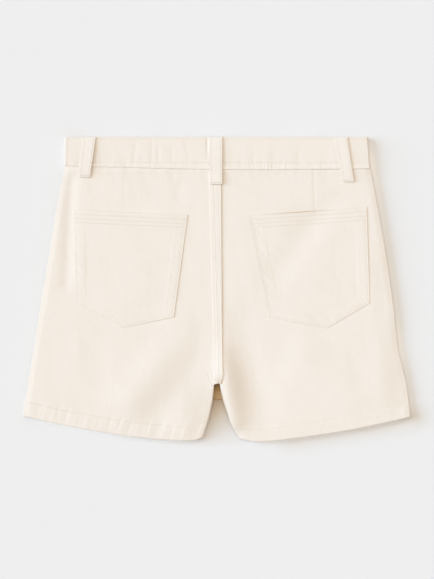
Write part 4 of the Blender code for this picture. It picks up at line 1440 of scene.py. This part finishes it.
def twill_material(context):
    """Cream cotton twill: steep ribs of warp floats, slubs, a faint mottle and a little nap."""
    sizes, cloth = context.scene.skort_sizes, context.scene.skort_finishes.cloth
    material, shader, start = new_material("woven_twill")
    weave = start.node("ShaderNodeUVMap", {"uv_map": "weave"})
    weft, warp = weave.part(0), weave.part(1)
    turn = math.tau / sizes.rib_pitch
    angle = math.radians(sizes.rib_angle)
    ribs = (weft * (turn * math.sin(angle)) - warp * (turn * math.cos(angle))).sine()
    floats = (warp * (turn * FLOAT_WARP) + weft * (turn * FLOAT_WEFT)).sine()
    mottle = weave.noise(MOTTLE_SCALE, 3.0)
    slubs = weave.stretched(*SLUB_SCALES).noise(1.0, 2.0)
    raised = start.node("ShaderNodeBump", (), {
        "Height": ribs * RIBS + floats * FLOATS + slubs * SLUBS,
        "Distance": sizes.rib_height, "Strength": RELIEF_STRENGTH})
    shade = slubs * TONE_SLUBS + mottle * TONE_MOTTLE - ribs * TONE_RIBS - TONE_LEVEL
    blended = shade.colours(tone(cloth, TWILL_LIGHT), tone(cloth, TWILL_DARK))
    # painted shade: the cloth's colour goes towards a warm brown by its recess attribute
    recess = start.node("ShaderNodeAttribute", {"attribute_name": "recess"}, (), ATTRIBUTE_FACTOR)
    start.feed(shader, {
        "Base Color": recess.colours(blended, PAINTED_SHADE_COLOUR), "Normal": raised,
        "Roughness": mix(*TWILL_ROUGHNESS, mottle), "Specular IOR Level": 0.15,
        "Sheen Weight": 0.02, "Sheen Roughness": 0.6})
    return material


def thread_material(context):
    """Cream sewing thread, with a faint speckle of fibres and a slight gloss."""
    material, shader, start = new_material("sewing_thread")
    place = start.node("ShaderNodeTexCoord", output=OBJECT_PLACE)
    fibres = place.noise(FIBRE_SCALE, 1.0)
    thread = context.scene.skort_finishes.thread
    blended = fibres.colours(tone(thread, THREAD_LIGHT), tone(thread, THREAD_DARK))
    start.feed(shader, {"Base Color": blended, "Roughness": mix(*THREAD_ROUGHNESS, fibres)})
    return material


def horn_material(context):
    """Polished pale horn with soft streaks."""
    material, shader, start = new_material("turned_horn")
    place = start.node("ShaderNodeTexCoord", output=OBJECT_PLACE)
    streaks = place.stretched(*STREAK_SCALES).noise(1.0, 4.0, STREAK_BEND)
    horn = context.scene.skort_finishes.button
    blended = streaks.colours(tone(horn, HORN_LIGHT), tone(horn, HORN_DARK))
    start.feed(shader, {"Base Color": blended, "Roughness": mix(*HORN_ROUGHNESS, streaks)})
    return material


def material_named(name, context):
    """The material of this name, made when it is first asked for."""
    makers = {"woven_twill": twill_material, "sewing_thread": thread_material,
              "turned_horn": horn_material}
    return bpy.data.materials.get(name) or makers[name](context)


# ------------------------------------------------------------------ stage
FLOOR_SIZE = 8.0
# painted warm shade on the floor between the legs, standing in for the little light
# that their cloth colours there
SHADE_TINT = (0.66, 0.50, 0.32)
SHADE_END = -0.1540
SHADE_TOP = -0.0700
SHADE_LENGTH = 0.0480
SHADE_X = 0.0040
SHADE_HALF_WIDTH = 0.0300
GRAIN_SCALE = 900.0
GRAIN = 0.003
# strips of floor along the garment's outline, painted darker or lighter: painted shade that
# takes away the light its lit side throws on the floor, painted light over the deep shade at
# its other side, painted warm shade past its right hem, and painted light over the deep shade
# close to both hems
Strip = namedtuple("Strip", "x_share y_share bow place length tint x_limits y_limits")
STRIPS = (
    Strip(-1.0, 0.151, 0.0, 0.1700, 0.0240, (0.98, 0.965, 0.95), (-0.300, -0.110),
          (-0.138, 0.166)),
    Strip(1.0, 0.151, 0.0, 0.1700, 0.0080, (1.24, 1.24, 1.24), (0.110, 0.300),
          (-0.138, 0.148)),
    Strip(0.165, -1.0, 0.0, 0.1571, 0.0220, (0.88, 0.82, 0.745), (0.055, 0.215),
          (-0.300, -0.110)),
    Strip(0.0174, -1.0, 0.758, 0.14648, 0.0050, (1.27, 1.27, 1.27), (-0.190, -0.018),
          (-0.300, -0.100)),
    Strip(0.0345, -1.0, 0.563, 0.15054, 0.0050, (1.26, 1.26, 1.26), (0.028, 0.190),
          (-0.300, -0.100)),
)
STRIP_FADE = 0.0200
CAMERA_HEIGHT = 1.568
CAMERA_X = 0.0005
CAMERA_LENS = 100.0
SENSOR = 36.0

Sun = namedtuple("Sun", "name colour strength spread source")
SUNS = (
    Sun("key", (0.538, 0.744, 1.000), 2.699, math.radians(42), (-0.88, 0.12, 0.45)),
    Sun("overhead", (1.000, 0.944, 0.861), 1.178, math.radians(56), (-0.20, 0.22, 1.0)),
    Sun("return", (1.000, 1.000, 1.000), 0.329, math.radians(60), (0.80, -0.10, 0.57)),
)
FILL_COLOUR = (0.400, 0.340, 0.270)
FILL_STRENGTH = 1.0
FLOOR_GLOW = 0.05


def lay_floor(context):
    """A pale matt floor that glows faintly, with painted shade and painted light about the garment.
    """
    bpy.ops.object.select_all(action="DESELECT")
    bpy.ops.mesh.primitive_plane_add(size=FLOOR_SIZE, location=(0.0, 0.0, -GAP))
    floor = context.object
    floor.name = "floor"
    material, shader, start = new_material("pale_floor")
    place = start.node("ShaderNodeTexCoord", output=OBJECT_PLACE)
    pale = context.scene.skort_finishes.floor
    even = place.noise(GRAIN_SCALE, 2.0).colours(tone(pale, 1.0 + GRAIN), tone(pale, 1.0 - GRAIN))
    x, y = place.part(0), place.part(1)
    # painted warm shade between the legs, then painted strips of light and shade along the outline
    inward = (y - SHADE_END).over(SHADE_LENGTH).limited()
    beside = (x - SHADE_X).size().over(SHADE_HALF_WIDTH).limited()
    shade = inward * (SHADE_TOP - y).over(SHADE_HALF_WIDTH).limited() * (1.0 - beside * beside)
    for strip in STRIPS:
        out = x * strip.x_share + y * strip.y_share + x * x * strip.bow - strip.place
        beyond = out.over(strip.length).limited()
        share = (1.0 - beyond) * (1.0 - beyond)
        for along, (low, high) in ((x, strip.x_limits), (y, strip.y_limits)):
            share = share * (along - low).over(STRIP_FADE).limited()
            share = share * (high - along).over(STRIP_FADE).limited()
        even = share.colours(even, tinted(pale, strip.tint))
    start.feed(shader, {
        "Base Color": shade.colours(even, tinted(pale, SHADE_TINT)), "Roughness": 0.95,
        "Specular IOR Level": 0.0, "Emission Color": (1.0, 1.0, 1.0, 1.0),
        "Emission Strength": FLOOR_GLOW})
    floor.data.materials.append(material)


def light_scene(context):
    """Soft suns from the left, from above and from the right, and a warm even fill."""
    for place in SUNS:
        sun = bpy.data.lights.new(place.name, "SUN")
        sun.energy = place.strength
        sun.color = place.colour
        sun.angle = place.spread
        light = bpy.data.objects.new(place.name, sun)
        light.rotation_euler = Vector(place.source).to_track_quat("Z", "Y").to_euler()
        context.scene.collection.objects.link(light)
    world = bpy.data.worlds.new("fill")
    world.use_nodes = True
    background = world.node_tree.nodes["Background"]
    background.inputs["Color"].default_value = FILL_COLOUR + (1.0,)
    background.inputs["Strength"].default_value = FILL_STRENGTH
    context.scene.world = world
    context.scene.view_settings.view_transform = "Standard"
    context.scene.view_settings.look = "None"


def aim_camera(context):
    """A long lens, straight above the garment."""
    data = bpy.data.cameras.new("camera")
    data.lens = CAMERA_LENS
    data.sensor_width = SENSOR
    camera = bpy.data.objects.new("camera", data)
    camera.location = (CAMERA_X, 0.0, CAMERA_HEIGHT)
    context.scene.collection.objects.link(camera)
    context.scene.camera = camera


# ------------------------------------------------------------------ settings
def length_setting(name, description, value, low, high):
    return FloatProperty(name=name, description=description, default=value, min=low, max=high,
                         unit="LENGTH")


def colour_setting(name, description, value):
    return FloatVectorProperty(name=name, description=description, default=value, min=0.0,
                               max=1.0, subtype="COLOR")


class SkortSizes(bpy.types.PropertyGroup):
    """Sizes of the cloth's detail"""

    cell: length_setting("Cell", "Spacing of the backs' points", 0.00115, 0.0006, 0.01)
    fine_cell: length_setting("Fine cell", "Spacing on the pockets", 0.0007, 0.0004, 0.01)
    coarse_cell: length_setting("Coarse cell", "Spacing on hidden pieces", 0.0022, 0.001, 0.02)
    stitch_length: length_setting("Stitch length", "Length of one stitch", 0.0026, 0.001, 0.01)
    stitch_pause: length_setting("Stitch pause", "Gap between two stitches", 0.0006, 0.0001, 0.005)
    thread_width: length_setting("Thread width", "Width of the thread", 0.00055, 0.0001, 0.002)
    thread_rise: length_setting("Thread rise", "Height of the thread's middle", 0.00004, 0.0, 0.001)
    rib_pitch: length_setting("Rib pitch", "Distance between twill ribs", 0.00075, 0.0002, 0.005)
    rib_height: length_setting("Rib height", "Height of the twill's relief", 0.00012, 0.0, 0.001)
    rib_angle: FloatProperty(name="Rib angle", description="Steepness of the ribs, in degrees",
                             default=63.0, min=0.0, max=90.0)


class SkortFinishes(bpy.types.PropertyGroup):
    """Colours of the skort and of what it lies on"""

    cloth: colour_setting("Cloth", "Colour of the twill", (0.901, 0.831, 0.750))
    thread: colour_setting("Thread", "Colour of the sewing thread", (0.88, 0.80, 0.70))
    button: colour_setting("Button", "Colour of the horn", (0.72, 0.62, 0.48))
    floor: colour_setting("Floor", "Colour of the surface it lies on", (0.79, 0.79, 0.79))


# ------------------------------------------------------------------ operators
def lay_cloth(context, node, surface):
    """Dress one node's solid with its sheet of cloth."""
    piece = make_sheet("cloth_" + node, surface, material_named("woven_twill", context))
    return dress(piece, [node])


class SKORT_OT_backs(bpy.types.Operator):
    """Lay the two back panels with their folds, darts and turned-up hems"""
    bl_idname = "skort.backs"
    bl_label = "Back panels"

    def execute(self, context):
        cell = context.scene.skort_sizes.cell
        for leg in LEGS:
            piece = lay_cloth(context, "back_" + leg.name, back_surface(leg, cell))
        return {"FINISHED"}


class SKORT_OT_seat_fell(bpy.types.Operator):
    """Lay the felled seam over the join of the two backs"""
    bl_idname = "skort.seat_fell"
    bl_label = "Centre-back fell"

    def execute(self, context):
        cell = context.scene.skort_sizes.cell
        piece = lay_cloth(context, "seat_fell", fell_surface(cell))
        return {"FINISHED"}


class SKORT_OT_fronts(bpy.types.Operator):
    """Lay the shorts' two fronts, which the backs cover"""
    bl_idname = "skort.fronts"
    bl_label = "Shorts' fronts"

    def execute(self, context):
        cell = context.scene.skort_sizes.coarse_cell
        for leg in LEGS:
            piece = lay_cloth(context, "front_" + leg.name, front_surface(leg, cell))
        return {"FINISHED"}


class SKORT_OT_skirt_front(bpy.types.Operator):
    """Lay the skirt panel that covers the fronts"""
    bl_idname = "skort.skirt_front"
    bl_label = "Front skirt panel"

    def execute(self, context):
        cell = context.scene.skort_sizes.coarse_cell
        piece = lay_cloth(context, "skirt_front", skirt_surface(cell))
        return {"FINISHED"}


class SKORT_OT_waistband(bpy.types.Operator):
    """Bend the waistband round both sides, with its puckers and its overlap at the front"""
    bl_idname = "skort.waistband"
    bl_label = "Waistband"

    def execute(self, context):
        cell = context.scene.skort_sizes.cell
        piece = lay_cloth(context, "waistband", band_surface(cell))
        return {"FINISHED"}


class SKORT_OT_belt_loops(bpy.types.Operator):
    """Arch three belt loops over the waistband's back and press two under its front"""
    bl_idname = "skort.belt_loops"
    bl_label = "Belt loops"

    def execute(self, context):
        cell = context.scene.skort_sizes.cell
        for loop in BACK_LOOPS:
            piece = lay_cloth(context, loop.name, back_loop_surface(loop, cell))
        for name, side in (("loop_front_left", -1), ("loop_front_right", 1)):
            piece = lay_cloth(context, name, front_loop_surface(side, cell))
        return {"FINISHED"}


class SKORT_OT_pockets(bpy.types.Operator):
    """Lay the two patch pockets on the backs"""
    bl_idname = "skort.pockets"
    bl_label = "Back pockets"

    def execute(self, context):
        cell = context.scene.skort_sizes.fine_cell
        for pocket in POCKETS:
            piece = lay_cloth(context, pocket.name, pocket_surface(pocket, cell))
        return {"FINISHED"}


class SKORT_OT_stitching(bpy.types.Operator):
    """Sew the seams, hems, pockets and loops with their rows of stitches"""
    bl_idname = "skort.stitching"
    bl_label = "Stitching"

    def execute(self, context):
        sizes = context.scene.skort_sizes
        thread = material_named("sewing_thread", context)
        rows = {
            "hems": hem_rows(sizes),
            "waistband": [row_on(band_surface(sizes.cell), "top", place) for place in BAND_ROWS],
            "fell": fell_rows(sizes),
            "loops": loop_rows(sizes),
        }
        for place, found in rows.items():
            sew("stitches_" + place, [walk(row, sizes) for row in found], sizes, thread)
        pockets = [row for pocket in POCKETS for row in pocket_rows(pocket, sizes)]
        sew("stitches_pockets", pockets, sizes, thread)
        sew("tacks_loops", loop_tacks(sizes), sizes, thread)
        return {"FINISHED"}


class SKORT_OT_button(bpy.types.Operator):
    """Turn the horn button, drill its holes and sew it on, face down"""
    bl_idname = "skort.button"
    bl_label = "Waist button"

    def execute(self, context):
        button = turn_button(material_named("turned_horn", context))
        dress(button, ["waist_button"])
        sew("stitches_button", button_threads(), context.scene.skort_sizes,
            material_named("sewing_thread", context))
        return {"FINISHED"}


class SKORT_OT_stage(bpy.types.Operator):
    """Lay the pale floor and set the soft light and the camera"""
    bl_idname = "skort.stage"
    bl_label = "Floor, light and camera"

    def execute(self, context):
        lay_floor(context)
        light_scene(context)
        aim_camera(context)
        return {"FINISHED"}


OPERATORS = (
    SKORT_OT_stage,
    SKORT_OT_backs,
    SKORT_OT_seat_fell,
    SKORT_OT_fronts,
    SKORT_OT_skirt_front,
    SKORT_OT_waistband,
    SKORT_OT_belt_loops,
    SKORT_OT_pockets,
    SKORT_OT_stitching,
    SKORT_OT_button,
)


class SKORT_PT_panel(bpy.types.Panel):
    """The skort's pieces, in the order in which they are made"""
    bl_idname = "SKORT_PT_panel"
    bl_label = "Skort"
    bl_space_type = "VIEW_3D"
    bl_region_type = "UI"
    bl_category = "Skort"

    def draw(self, context):
        for settings in (context.scene.skort_sizes, context.scene.skort_finishes):
            column = self.layout.column()
            for name in settings.__annotations__:
                column.prop(settings, name)
        for operator in OPERATORS:
            self.layout.operator(operator.bl_idname)


CLASSES = (SkortSizes, SkortFinishes) + OPERATORS + (SKORT_PT_panel,)


def register():
    for item in CLASSES:
        bpy.utils.register_class(item)
    bpy.types.Scene.skort_sizes = PointerProperty(type=SkortSizes)
    bpy.types.Scene.skort_finishes = PointerProperty(type=SkortFinishes)


def unregister():
    del bpy.types.Scene.skort_finishes
    del bpy.types.Scene.skort_sizes
    for item in reversed(CLASSES):
        bpy.utils.unregister_class(item)


def main():
    register()
    for operator in OPERATORS:
        getattr(bpy.ops.skort, operator.bl_idname.split(".")[1])()


if __name__ == "__main__":
    main()
